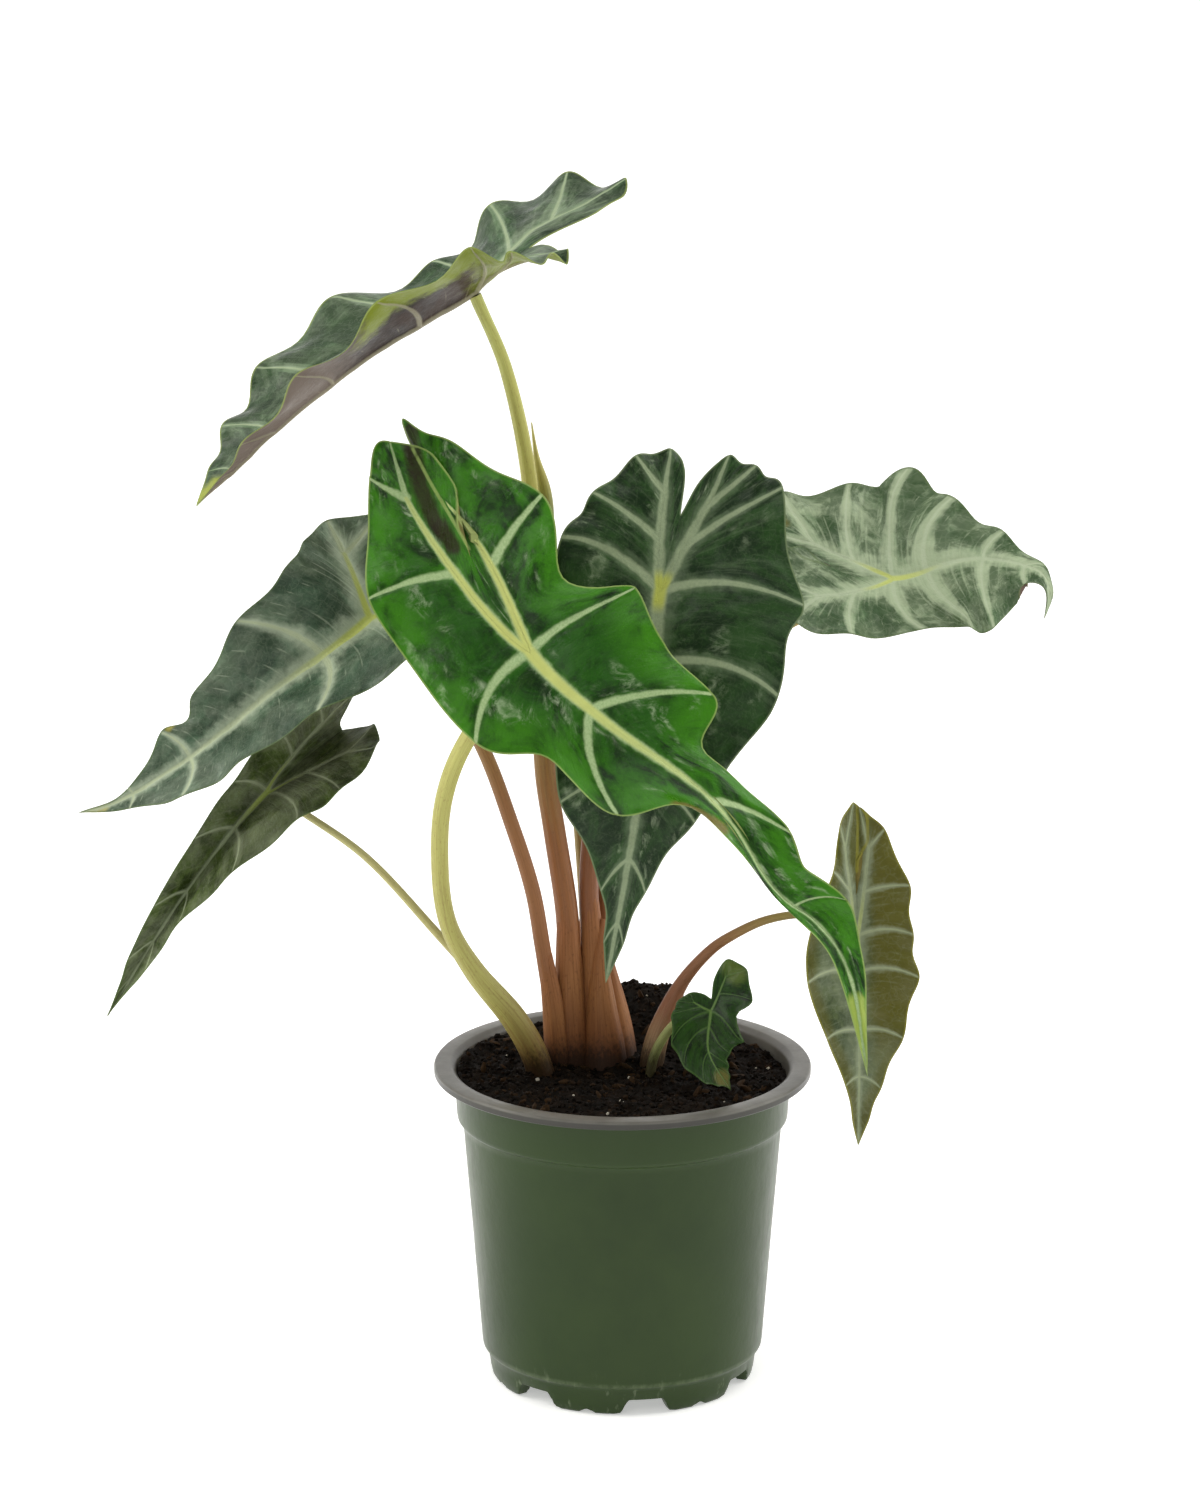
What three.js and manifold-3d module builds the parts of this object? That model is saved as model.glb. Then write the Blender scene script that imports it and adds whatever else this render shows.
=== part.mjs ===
// An African mask alocasia in its nursery pot.
// Millimetres, +Z up. Lengths below are measured from the pot's axis at floor level,
// and the finished group is moved so that the middle of its footprint is at the origin.
import * as THREE from 'three';
import Module from 'manifold-3d';

const wasm = await Module();
wasm.setup();

// Driving dimensions

const RIM_RADIUS = 78;
const POT_HEIGHT = 135;
const WALL = 1.2;
const FLOOR_UNDERSIDE = 7;
const FEET = 7;
const FIRST_NOTCH = THREE.MathUtils.degToRad(-80);
const SEGMENTS_BETWEEN_NOTCHES = [0, 8, 11.5, 17, 22.5, 25.7, 28.9, 34.4, 39.9, 43.4];
const NOTCH_HALF_ANGLE = 9.5;
const BUMP_LIFT = 2.5;
const DRAIN_SLOT = { width: 11, height: 3, depth: 9, radius: 56, z: 10.3 };

const GAP = 0.3;
const MIX_LEVEL = 132;
const MIX_MOUND = { x: 10, y: 56, radius: 30, height: 20, settles: [58, 68] };
const MIX_RINGS = 11;
const MIX_SEGMENTS = 42;
const LUMP_HEIGHT = 1.6;

const BLADE_THICKNESS = 0.8;
const MIDRIB_DEPTH = 1.2;
const STALK_SIDES = 8;

// Where the middle of the whole plant's footprint lies, seen from the pot's axis
const FOOTPRINT_CENTRE = new THREE.Vector3(-20.9, -8.4, 0);

// Colours

const COLOURS = {
  pot: 0x45563a, soil: 0x24170f, crown: 0x85502f, greenStalk: 0xb3b05c, brownStalk: 0x8a5f3c,
  bright: 0x35691f, dark: 0x22351f, grey: 0x6c7a5c, olive: 0x5a5a20, paleRoll: 0xa8a855,
};
const skin = (colour, roughness = 0.5) =>
  new THREE.MeshStandardMaterial({ color: colour, roughness, metalness: 0 });

// Small helpers

const clamp = THREE.MathUtils.clamp;
const rad = THREE.MathUtils.degToRad;

// A smooth value through (xs, ys), where each y is an array of numbers
function along(xs, ys, x) {
  const last = xs.length - 1;
  const at = clamp(x, xs[0], xs[last]);
  let k = 0;
  while (k < last - 1 && at >= xs[k + 1]) k += 1;
  const slope = (i) => {
    const a = Math.max(i - 1, 0);
    const b = Math.min(i + 1, last);
    return ys[i].map((_, c) => (ys[b][c] - ys[a][c]) / (xs[b] - xs[a]));
  };
  const span = xs[k + 1] - xs[k];
  const t = (at - xs[k]) / span;
  const from = slope(k);
  const to = slope(k + 1);
  return ys[k].map((y, c) =>
    (2 * t ** 3 - 3 * t ** 2 + 1) * y + (t ** 3 - 2 * t ** 2 + t) * span * from[c]
    + (-2 * t ** 3 + 3 * t ** 2) * ys[k + 1][c] + (t ** 3 - t ** 2) * span * to[c]);
}

// A repeatable draw between 0 and 1 for a pair of whole numbers
function draw(i, j) {
  const value = Math.sin(i * 127.1 + j * 311.7) * 43758.5453;
  return value - Math.floor(value);
}

// Vertices that are shared by place, and triangles between them
class Shell {
  constructor() {
    this.points = [];
    this.faces = [];
    this.lookup = new Map();
  }

  add(point) {
    const key = point.toArray().map((value) => Math.round(value * 1000)).join();
    if (!this.lookup.has(key)) {
      this.lookup.set(key, this.points.length);
      this.points.push(point);
    }
    return this.lookup.get(key);
  }

  triangle(a, b, c) {
    if (a !== b && b !== c && c !== a) this.faces.push([a, b, c]);
  }

  quad(a, b, c, d) {
    this.triangle(a, b, c);
    this.triangle(a, c, d);
  }

  solid() {
    const vertProperties = Float32Array.from(this.points.flatMap((point) => point.toArray()));
    const triVerts = Uint32Array.from(this.faces.flat());
    return new wasm.Manifold(new wasm.Mesh({ numProp: 3, vertProperties, triVerts }));
  }
}

function meshOf(name, solid, material) {
  const { vertProperties, triVerts } = solid.getMesh();
  const geometry = new THREE.BufferGeometry();
  geometry.setAttribute('position', new THREE.BufferAttribute(Float32Array.from(vertProperties), 3));
  geometry.setIndex([...triVerts]);
  geometry.computeVertexNormals();
  const mesh = new THREE.Mesh(geometry, material);
  mesh.name = name;
  return mesh;
}

// What is left of a solid once loose scraps from a cut are dropped
function largest(solid) {
  const pieces = solid.decompose();
  return pieces.reduce((best, piece) => (piece.volume() > best.volume() ? piece : best));
}

// Nursery pot: one thin shell, its profile closed, its feet lifted where the notches are

// Outer face from the rim's inner edge down to the foot, then the inner face back up
const POT_OUTSIDE = [
  [71.2, 135], [77, 135], [RIM_RADIUS, 134.2], [RIM_RADIUS, 131.4], [76.8, 131.4], [76.6, 133.6],
  [70.8, 133.6], [69.6, 131], [68.5, 112.6], [66.2, 111.2], [58.3, 13], [56.4, 12], [55.4, 6],
  [54.4, 1.2], [52.8, 0], [51.2, 0], [49.4, 1.6], [48.4, FLOOR_UNDERSIDE],
];
const POT_INSIDE = [
  [47.6, 8.2], [49.8, 8], [50.8, 2.2], [52.6, 1.4], [53.4, 2.2], [54.2, 8.2], [55.2, 13], [57.1, 14.2],
  [65, 112], [67.3, 113.4], [68.6, 132.2], [70, 134],
];

function potSolid() {
  const shell = new Shell();
  const angles = [];
  for (let foot = 0; foot < FEET; foot += 1) {
    for (const step of SEGMENTS_BETWEEN_NOTCHES) angles.push({ step, turn: foot * (360 / FEET) + step });
  }
  const lift = (step) => {
    const fromNotch = Math.min(step, 360 / FEET - step);
    if (fromNotch < NOTCH_HALF_ANGLE) return FLOOR_UNDERSIDE;
    const fromMiddle = Math.abs(step - 180 / FEET);
    return fromMiddle < 1 ? BUMP_LIFT : 0;
  };
  const profile = [...POT_OUTSIDE, ...POT_INSIDE];
  const columns = angles.map(({ step, turn }) => {
    const angle = FIRST_NOTCH + rad(turn);
    return profile.map(([r, z], k) => {
      const lowest = lift(step) + (k < POT_OUTSIDE.length ? 0 : WALL);
      const height = k < POT_OUTSIDE.length && r <= 48.4 ? z : Math.max(z, Math.min(lowest, z + lowest));
      return shell.add(new THREE.Vector3(r * Math.cos(angle), r * Math.sin(angle), height));
    });
  });
  const under = shell.add(new THREE.Vector3(0, 0, FLOOR_UNDERSIDE));
  const over = shell.add(new THREE.Vector3(0, 0, FLOOR_UNDERSIDE + WALL));
  const turnOver = POT_OUTSIDE.length - 1;
  columns.forEach((column, i) => {
    const next = columns[(i + 1) % columns.length];
    for (let k = 0; k < profile.length; k += 1) {
      const after = (k + 1) % profile.length;
      if (k === turnOver) {
        shell.triangle(column[k], under, next[k]);
        shell.triangle(column[after], next[after], over);
      } else {
        shell.quad(column[k], column[after], next[after], next[k]);
      }
    }
  });
  return shell.solid();
}

// Boxes that cut a low drain slot at each notch
function drainSlots() {
  const { width, height, depth, radius, z } = DRAIN_SLOT;
  const slots = [];
  for (let foot = 0; foot < FEET; foot += 1) {
    const box = new THREE.BoxGeometry(depth, width, height);
    box.translate(radius, 0, z);
    box.rotateZ(FIRST_NOTCH + rad(foot * (360 / FEET)));
    slots.push(solidOf(box));
  }
  return slots;
}

// A three.js geometry as a solid, its corners shared by place
function solidOf(geometry) {
  const shell = new Shell();
  const place = geometry.getAttribute('position');
  const corner = (i) => shell.add(new THREE.Vector3().fromBufferAttribute(place, i));
  const index = geometry.getIndex();
  for (let i = 0; i < index.count; i += 3) {
    shell.triangle(corner(index.getX(i)), corner(index.getX(i + 1)), corner(index.getX(i + 2)));
  }
  return shell.solid();
}

// Potting mix: fills the pot to its floor, with a lumpy top that is mounded at the back

const MIX_SIDE = [[0, 8.5], [47, 8.5], [53.6, 9.2], [54.8, 13.6], [56.7, 14.8], [64.6, 112.4], [66.8, 114]];
const MIX_TOP_RADIUS = 68;

function mixHeight(x, y, ring, spoke) {
  const { x: mx, y: my, radius, height, settles: [inner, outer] } = MIX_MOUND;
  const away = Math.hypot(x - mx, y - my) / radius;
  const settled = 1 - 0.7 * THREE.MathUtils.smoothstep(Math.hypot(x, y), inner, outer);
  const mound = height * Math.exp(-away * away) * settled;
  const lower = x > 20 ? (x - 20) * 0.07 : 0;
  const lump = ring === 0 ? 0 : (draw(ring, spoke) - 0.5) * 2 * LUMP_HEIGHT;
  return MIX_LEVEL + mound - lower + lump;
}

function mixSolid() {
  const shell = new Shell();
  const rows = [];
  for (const [r, z] of MIX_SIDE.slice(1)) rows.push({ r, z });
  for (let ring = MIX_RINGS; ring > 0; ring -= 1) rows.push({ r: (MIX_TOP_RADIUS * ring) / MIX_RINGS, ring });
  const grid = rows.map(({ r, z, ring }) => {
    const row = [];
    for (let spoke = 0; spoke < MIX_SEGMENTS; spoke += 1) {
      const angle = (2 * Math.PI * (spoke + (ring ? (ring % 2) / 2 : 0))) / MIX_SEGMENTS;
      const x = r * Math.cos(angle);
      const y = r * Math.sin(angle);
      row.push(shell.add(new THREE.Vector3(x, y, z ?? mixHeight(x, y, ring, spoke))));
    }
    return row;
  });
  const bottom = shell.add(new THREE.Vector3(0, 0, MIX_SIDE[0][1]));
  const top = shell.add(new THREE.Vector3(0, 0, mixHeight(0, 0, 0, 0)));
  for (let spoke = 0; spoke < MIX_SEGMENTS; spoke += 1) {
    const next = (spoke + 1) % MIX_SEGMENTS;
    shell.triangle(bottom, grid[0][next], grid[0][spoke]);
    for (let row = 0; row < grid.length - 1; row += 1) {
      shell.quad(grid[row][spoke], grid[row][next], grid[row + 1][next], grid[row + 1][spoke]);
    }
    const rim = grid[grid.length - 1];
    shell.triangle(top, rim[spoke], rim[next]);
  }
  return shell.solid();
}

// Stalks: a tapered round sweep along a smooth curve through hand-set points

function sweep(points, radii, steps, grow = 0, section = null) {
  const shell = new Shell();
  const curve = new THREE.CatmullRomCurve3(points.map((point) => new THREE.Vector3(...point)));
  const { binormals, normals } = curve.computeFrenetFrames(steps, false);
  const shares = radii.map((_, i) => i / (radii.length - 1));
  const radiusAt = (share) => along(shares, radii.map((r) => [r]), share)[0];
  const sides = section ? section.length : STALK_SIDES;
  const rings = [];
  for (let i = 0; i <= steps; i += 1) {
    const centre = curve.getPointAt(i / steps);
    const radius = radiusAt(i / steps) + grow;
    const ring = [];
    for (let side = 0; side < sides; side += 1) {
      const angle = (2 * Math.PI * side) / sides;
      const reach = radius * (section ? section[side] : 1);
      const point = centre.clone()
        .addScaledVector(normals[i], reach * Math.cos(angle))
        .addScaledVector(binormals[i], reach * Math.sin(angle));
      ring.push(shell.add(point));
    }
    rings.push(ring);
  }
  const first = shell.add(curve.getPointAt(0));
  const end = shell.add(curve.getPointAt(1));
  for (let side = 0; side < sides; side += 1) {
    const next = (side + 1) % sides;
    shell.triangle(first, rings[0][next], rings[0][side]);
    shell.triangle(end, rings[steps][side], rings[steps][next]);
    for (let i = 0; i < steps; i += 1) {
      shell.quad(rings[i][side], rings[i][next], rings[i + 1][next], rings[i + 1][side]);
    }
  }
  const solid = shell.solid();
  return solid;
}

// Each stalk's points run from the foot up to the blade, and its radii are spread along it
const STALKS = {
  front: {
    points: [[-31, -3, 118], [-36, -6, 139], [-45, -12, 158], [-61, -20, 181], [-71, -28, 203], [-74, -36, 229],
      [-72, -44, 260], [-62, -54, 288], [-37, -68, 326]],
    radii: [5.8, 5.2, 3.7, 3.5, 3.4, 3.2], steps: 14,
  },
  left: {
    points: [[-27, 4, 150], [-30, 2, 165], [-33, 2, 184], [-37, 2, 208], [-45, 2, 235], [-58, 4, 270],
      [-75, 8, 296], [-91, 10, 312], [-103, 11, 321]],
    radii: [3.4, 3.2, 3, 2.8, 2.6], steps: 12, fromCrown: true,
  },
  top: {
    points: [[-22, 8, 150], [-22, 8, 167], [-23, 10, 196], [-28, 10, 231], [-32, 10, 260], [-34, 10, 321],
      [-38, 8, 380], [-47, 7, 425], [-60, 5.5, 457.5]],
    radii: [4.8, 4.6, 4.2, 3.6, 3, 2.3], steps: 16, fromCrown: true,
  },
  centre: {
    points: [[-10, 11, 150], [-12, 12, 175], [-14, 14, 209], [-11, 14, 243], [-1, 6, 279], [8, -4, 308],
      [16, -20, 339]],
    radii: [4.4, 4, 3.4, 2.8, 2.5], steps: 12, fromCrown: true,
  },
  right: {
    points: [[-3, 17, 150], [-8, 21, 181], [-4, 29, 218], [22, 41, 268], [58, 50, 302], [86, 53, 317],
      [111, 51, 328]],
    radii: [3.8, 3.4, 3, 2.4, 2], steps: 12, fromCrown: true,
  },
  lower_left: {
    points: [[-35, 12, 120], [-38, 10, 139], [-54, 7, 162], [-75, 3, 188], [-104, 3, 221], [-128, 7, 238],
      [-146, 12, 247]],
    radii: [2.2, 2, 1.8, 1.6, 1.5], steps: 11,
  },
  lower_right: {
    points: [[11, 5, 119], [13, 3, 139], [18, 2, 155], [25, 0, 170], [36, -3, 184], [46, -6, 192],
      [59, -9, 199], [74, -11, 202], [87, -12, 200], [95, -14, 195]],
    radii: [5.2, 4.6, 2.7, 2, 1.6, 1.5], steps: 13,
  },
  small: {
    points: [[11, -8, 121], [12, -7, 136], [16, -9, 147], [22, -12, 156], [29, -16, 163], [35, -21, 165]],
    radii: [2, 2, 1.8, 1.5], steps: 8,
  },
  rolled: {
    points: [[-14, 21, 150], [-16, 22, 200], [-20, 22, 250], [-26, 19, 300], [-31, 16, 345]],
    radii: [2.6, 2.2, 1.8, 1.6], steps: 9, fromCrown: true,
  },
};

// Crown: the sheathing bases of the stalks that leave it, grown into one another

const CROWN_SHEATHS = [
  { points: [[-24, 7, 116], [-27, 4, 140], [-29, 2, 160], [-32, 2, 178]], radii: [5, 5.4, 4.4, 3.7] },
  { points: [[-18, 9, 116], [-21, 8, 140], [-22, 8, 167], [-23, 10, 196]], radii: [7, 7.4, 5.8, 4.9] },
  { points: [[-9, 9, 116], [-10, 10, 140], [-12, 12, 175], [-14, 14, 205]], radii: [7.6, 7.2, 5.2, 4.2] },
  { points: [[0, 13, 116], [-2, 14, 140], [-7, 19, 172]], radii: [7.6, 6.8, 4.1] },
  { points: [[-12, 16, 116], [-14, 20, 140], [-15, 22, 190]], radii: [5.5, 5.4, 3] },
];

function crownSolid(grow = 0) {
  const sheaths = CROWN_SHEATHS.map(({ points, radii }) => sweep(points, radii, 5, grow));
  return sheaths.reduce((joined, sheath) => joined.add(sheath));
}

// Blades: an arrow shape with scalloped edges, laid out flat and then bent into place.
// Flat places are (u, v): u runs from the stalk to the tip, v out to the margin.
// Main veins are numbered: 0 and 1 fork at the end of the rib in the rear lobe, 2 leaves
// that rib half way, 3 starts at the stalk, 4 to 7 leave the midrib and 8 is the tip.
// Numbers -2 and -1 are the bottom of the slit between the lobes and the lobe's inner edge.

const FIRST_VEIN = -2;
const TIP_VEIN = 8;
const VEIN_ORIGINS = [0, 0.17, 0.45, 0.67, 0.84, 1];
const MARGIN = [[-0.46, 0], [-0.8, 0.13], [-1, 0.36], [-0.78, 0.76], [-0.36, 0.98], [0, 1], [0.28, 0.85],
  [0.55, 0.5], [0.78, 0.2], [0.91, 0.06], [1, 0]];
const LOBE_RIB_END = [0.66, 0.4];
const SCALLOP = 0.07;
const VEIN_BOW = 0.07;
const PUFF = 0.8;
const FULL_RIPPLE_WIDTH = 20;
const SIDES = { left: 1, right: -1 };

const LEAVES = {
  front: {
    length: 230, rear: 106, half: 50, slit: 46, ripple: 3, ribSpread: 0.5, lap: [-3, 5], grid: [3, 5],
    ribEnds: { left: [-72, 5], right: [-80, 11] },
    ends: {
      left: { '-1': [-85, 0.5], 0: [-113, 4], 1: [-92, 16], 2: [-49, 36], 3: [13, 48], 4: [79, 35],
        5: [128, 19], 6: [170, 15], 7: [204, 5] },
      right: { '-1': [-80, 0.6], 0: [-106, 4], 1: [-96, 20], 2: [-47, 45], 3: [14, 41], 4: [75, 29],
        5: [117, 9], 6: [166, 6], 7: [203, 4] },
    },
    notches: { left: { 2: 0.42, 4: 0.42 }, right: { 0: -0.12, 3: 0.3 } },
    stations: [
      { u: -110, at: [-90, -24, 407], up: [-0.1, -0.9, 0.35], fold: [-3, 14] },
      { u: -50, at: [-63, -50, 368], up: [-0.1, -0.9, 0.35], fold: [0, 10] },
      { u: 0, at: [-37, -70, 328], up: [-0.1, -0.85, 0.5], fold: [5, 5] },
      { u: 45, at: [-9, -82, 304], up: [0, -0.8, 0.6], fold: [5, -15] },
      { u: 95, at: [28, -92, 279], up: [0, -0.8, 0.6], fold: [-10, -66] },
      { u: 113, at: [42, -95, 265], up: [0.2, -0.85, 0.4], fold: [-25, -80] },
      { u: 143, at: [59, -98, 238], up: [0.2, -0.95, 0.2], fold: [0, -74] },
      { u: 172, at: [79, -101, 222], up: [0.2, -0.95, 0.1], fold: [-8, -50] },
      { u: 198, at: [90, -103, 202], up: [0.3, -0.9, 0.1], fold: [-10, -35] },
      { u: 230, at: [97, -105, 163], up: [0.4, -0.9, 0.1], fold: [0, 0] },
    ],
    colour: COLOURS.bright,
  },
  centre: {
    length: 165, rear: 58, half: 57, slit: 32, ripple: 2, ribSpread: 0.4, grid: [3, 4],
    ends: {
      left: { '-1': [-48, 3.5], 0: [-60, 12], 1: [-58, 24], 2: [-52, 37], 3: [-5, 58], 4: [37, 50],
        5: [90, 24], 6: [124, 9], 7: [148, 4] },
      right: { '-1': [-50, 4], 0: [-56, 12], 1: [-48, 25], 2: [-28, 37], 3: [-10, 44], 4: [45, 46], 5: [90, 31],
        6: [126, 9], 7: [148, 4] },
    },
    stations: [
      { u: -58, at: [31, 6, 391], up: [0, -0.93, 0.36], fold: [10, 10] },
      { u: 0, at: [15, -22, 341], up: [0, -0.95, 0.3], fold: [5, 5] },
      { u: 42, at: [12, -32, 298], up: [0, -1, 0.2], fold: [0, 0] },
      { u: 85, at: [6, -36, 257], up: [0, -1, 0.1], fold: [0, 0] },
      { u: 125, at: [0, -36, 219], up: [0, -1, 0], fold: [0, 0] },
      { u: 165, at: [-7, -30, 178], up: [0, -1, -0.1], fold: [0, 0] },
    ],
    colour: COLOURS.dark,
  },
  top: {
    length: 150, rear: 68, half: 50, slit: 30, ripple: 3, ribSpread: 0.7, grid: [3, 4],
    ribEnds: { left: [-22, 19] },
    ends: {
      left: { '-1': [-35, 7], 0: [-38, 29], 1: [-30, 37], 2: [-16, 44] },
      right: { '-1': [-62, 7], 0: [-80, 20], 1: [-62, 42], 2: [-32, 46], 3: [0, 45], 4: [42, 44], 5: [84, 34],
        6: [114, 22], 7: [134, 10] },
    },
    stations: [
      { u: -68, at: [-2, 24, 486], up: [-0.3, 0, 0.95], fold: [-30, 20] },
      { u: -34, at: [-34, 14, 476], up: [-0.3, 0, 0.95], fold: [-6, 15] },
      { u: 0, at: [-60, 5, 458], up: [-0.3, 0, 0.95], fold: [27, 9] },
      { u: 50, at: [-103, -11, 434], up: [-0.3, 0, 0.95], fold: [31, 25] },
      { u: 100, at: [-139, -27, 408], up: [-0.5, 0, 0.8], fold: [30, 28] },
      { u: 150, at: [-170, -40, 380], up: [-0.6, 0, 0.7], fold: [30, 30] },
    ],
    colour: COLOURS.dark,
  },
  right: {
    length: 80, rear: 52, half: 43, slit: 30, ripple: 2, ribSpread: 0.7, lap: [-2, 4], grid: [3, 4],
    ribEnds: { right: [-38, 21] },
    ends: {
      left: { '-1': [-44, 1], 0: [-56, 14], 1: [-46, 38], 2: [-16, 46], 3: [18, 51], 4: [27, 32],
        5: [42, 15], 6: [60, 5] },
      right: { '-1': [-44, 1], 0: [-60, 14], 1: [-56, 44], 2: [-28, 44], 3: [6, 35], 4: [34, 46],
        5: [51, 43], 6: [61, 15], 7: [72, 5] },
    },
    stations: [
      { u: -52, at: [64, 36, 341], up: [0.1, -0.4, 0.9], fold: [5, 0] },
      { u: 0, at: [112, 50, 329], up: [0.1, -0.45, 0.87], fold: [15, 0] },
      { u: 30, at: [143, 50, 337], up: [0, -0.45, 0.87], fold: [10, 0] },
      { u: 58, at: [170, 45, 334], up: [0.1, -0.47, 0.87], fold: [0, 0] },
      { u: 68, at: [176, 41, 327], up: [0.8, -0.3, 0.4], fold: [0, 0] },
      { u: 80, at: [174, 37, 314], up: [0.9, -0.3, -0.2], fold: [0, 0] },
    ],
    colour: COLOURS.grey,
  },
  left: {
    length: 142, rear: 50, half: 46, slit: 30, ripple: 2, ribSpread: 0.9, grid: [3, 4],
    ribEnds: { right: [-15, 25] },
    ends: {
      left: { 3: [2, 44], 4: [38, 36], 5: [78, 29], 6: [105, 21], 7: [123, 7] },
      right: { 0: [-41, 23], 1: [-24, 39], 2: [-4, 41], 3: [14, 38], 4: [43, 32], 5: [77, 20], 6: [99, 16],
        7: [120, 3] },
    },
    notches: { left: {}, right: { 0: 0.03, 1: 0.02, 2: 0.02, 3: 0.04, 5: 0.2 } },
    stations: [
      { u: -50, at: [-76, 24, 354], up: [-0.2, -0.9, 0.3], fold: [38, 15] },
      { u: 0, at: [-103, 10, 322], up: [-0.2, -0.9, 0.4], fold: [40, 15] },
      { u: 50, at: [-144, 0, 292], up: [-0.2, -0.85, 0.5], fold: [38, 15] },
      { u: 95, at: [-176, -9, 268], up: [-0.2, -0.8, 0.6], fold: [30, 5] },
      { u: 124, at: [-204, -15, 252], up: [-0.15, -0.75, 0.65], fold: [18, 5] },
      { u: 142, at: [-221, -20, 248], up: [-0.1, -0.7, 0.7], fold: [5, 5] },
    ],
    colour: COLOURS.dark,
  },
  lower_left: {
    length: 118, rear: 52, half: 36, slit: 40, ripple: 1.5, ribSpread: 0.7, grid: [2, 4],
    ribEnds: { left: [-34, 17] },
    ends: {
      left: { '-1': [-43, 4], 0: [-50, 15], 1: [-43, 31], 2: [-20, 40], 4: [33, 25], 5: [66, 11], 6: [92, 7] },
      right: { 2: [-18, 24], 3: [6, 18], 4: [33, 14], 5: [66, 10], 6: [92, 6] },
    },
    stations: [
      { u: -52, at: [-106, 26, 278], up: [-0.3, -0.9, 0.3], fold: [46, 60] },
      { u: 0, at: [-146, 10, 248], up: [-0.3, -0.9, 0.2], fold: [47, 55] },
      { u: 55, at: [-180, 0, 207], up: [-0.3, -0.9, 0.1], fold: [50, 50] },
      { u: 118, at: [-212, -10, 158], up: [-0.3, -0.9, 0.1], fold: [40, 40] },
    ],
    colour: COLOURS.olive,
  },
  lower_right: {
    length: 88, rear: 54, half: 27, slit: 26, ripple: 1.5, ribSpread: 0.5, grid: [2, 4],
    ends: {
      left: { '-1': [-44, 1.4], 0: [-52, 3], 1: [-43, 12], 2: [-20, 22], 3: [0, 23], 4: [18, 25], 5: [43, 18],
        6: [64, 9], 7: [78, 4] },
      right: { '-1': [-42, 1.4], 0: [-54, 2], 1: [-45, 9], 2: [-26, 12], 3: [-3, 24], 4: [17, 26], 5: [41, 17],
        6: [62, 7], 7: [78, 3] },
    },
    stations: [
      { u: -54, at: [95, 2, 246], up: [0.2, -0.9, 0.2], fold: [10, 25] },
      { u: 0, at: [96, -15, 194], up: [0.2, -0.9, 0.2], fold: [10, 20] },
      { u: 45, at: [97, -22, 150], up: [0.2, -0.9, 0.1], fold: [10, 20] },
      { u: 88, at: [97, -25, 107], up: [0.2, -0.9, 0], fold: [10, 20] },
    ],
    colour: COLOURS.olive,
  },
  small: {
    length: 34, rear: 22, half: 17, slit: 5, ripple: 1, ribSpread: 0.8, grid: [2, 3],
    ribEnds: { right: [-3, 7] },
    ends: {
      left: { '-1': [-14, 1], 0: [-22, 6], 1: [-18, 14], 2: [-5, 17], 3: [13, 15], 4: [20, 8], 5: [25, 5],
        6: [29, 3], 7: [32, 1] },
      right: { '-1': [-7, 4], 0: [-7, 9], 1: [-3, 14], 2: [4, 16], 3: [12, 15], 4: [18, 12], 5: [26, 8],
        6: [30, 4], 7: [32, 1] },
    },
    notches: { left: { 2: 0.4 }, right: {} },
    stations: [
      { u: -22, at: [37, -14, 184], up: [0, -0.9, 0.4], fold: [5, 5] },
      { u: 0, at: [36, -22, 164], up: [0, -0.9, 0.4], fold: [5, 5] },
      { u: 15, at: [35, -32, 150], up: [0, -0.8, 0.6], fold: [5, 5] },
      { u: 34, at: [44, -40, 136], up: [0.1, -0.6, 0.8], fold: [5, 5] },
    ],
    colour: COLOURS.bright,
  },
};

// Where vein s starts on the ribs
function veinStart(leaf, side, s) {
  if (s > 3) {
    const k = Math.min(Math.floor(s) - 3, VEIN_ORIGINS.length - 2);
    const share = VEIN_ORIGINS[k] + (VEIN_ORIGINS[k + 1] - VEIN_ORIGINS[k]) * (s - 3 - k);
    return [share * leaf.length, 0];
  }
  const reach = s <= 0 ? (s + 2) / 2 : Math.min(1, (3 - s) / 2);
  const [back, out] = LOBE_RIB_END;
  const [u, v] = leaf.ribEnds?.[side] ?? [-back * leaf.rear, out * leaf.half * leaf.ribSpread];
  return [u * reach, v * reach ** 0.85];
}

// Where vein s meets the margin, drawn in between the veins as shallow scallops
function marginPoint(leaf, side, s) {
  const numbers = MARGIN.map((_, i) => i + FIRST_VEIN);
  const points = MARGIN.map(([a, b]) => [a * (a < 0 ? leaf.rear : leaf.length), b * leaf.half]);
  points[0][0] = -leaf.slit;
  for (const [vein, place] of Object.entries(leaf.ends[side])) points[Number(vein) - FIRST_VEIN] = place;
  const [u, v] = along(numbers, points, s);
  const interval = clamp(Math.floor(s), FIRST_VEIN, TIP_VEIN - 1);
  const plain = interval < 0 || interval === TIP_VEIN - 1 ? 0 : SCALLOP;
  const depth = (leaf.notches?.[side][interval] ?? plain) * (1 - Math.cos(2 * Math.PI * s)) / 2;
  const [ru, rv] = veinStart(leaf, side, s);
  return [u + (ru - u) * depth, v + (rv - v) * depth];
}

// A flat place: t is 0 on the rib and 1 on the margin
function flatPoint(leaf, side, s, t) {
  const [ru, rv] = veinStart(leaf, side, s);
  const [mu, mv] = marginPoint(leaf, side, s);
  const reach = Math.hypot(mu - ru, mv - rv);
  const bow = VEIN_BOW * clamp((s - 1) / 2, 0, 1) * clamp(TIP_VEIN - s, 0, 1) * reach * 4 * t * (1 - t);
  return [ru + (mu - ru) * t - bow, rv + (mv - rv) * t];
}

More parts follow.
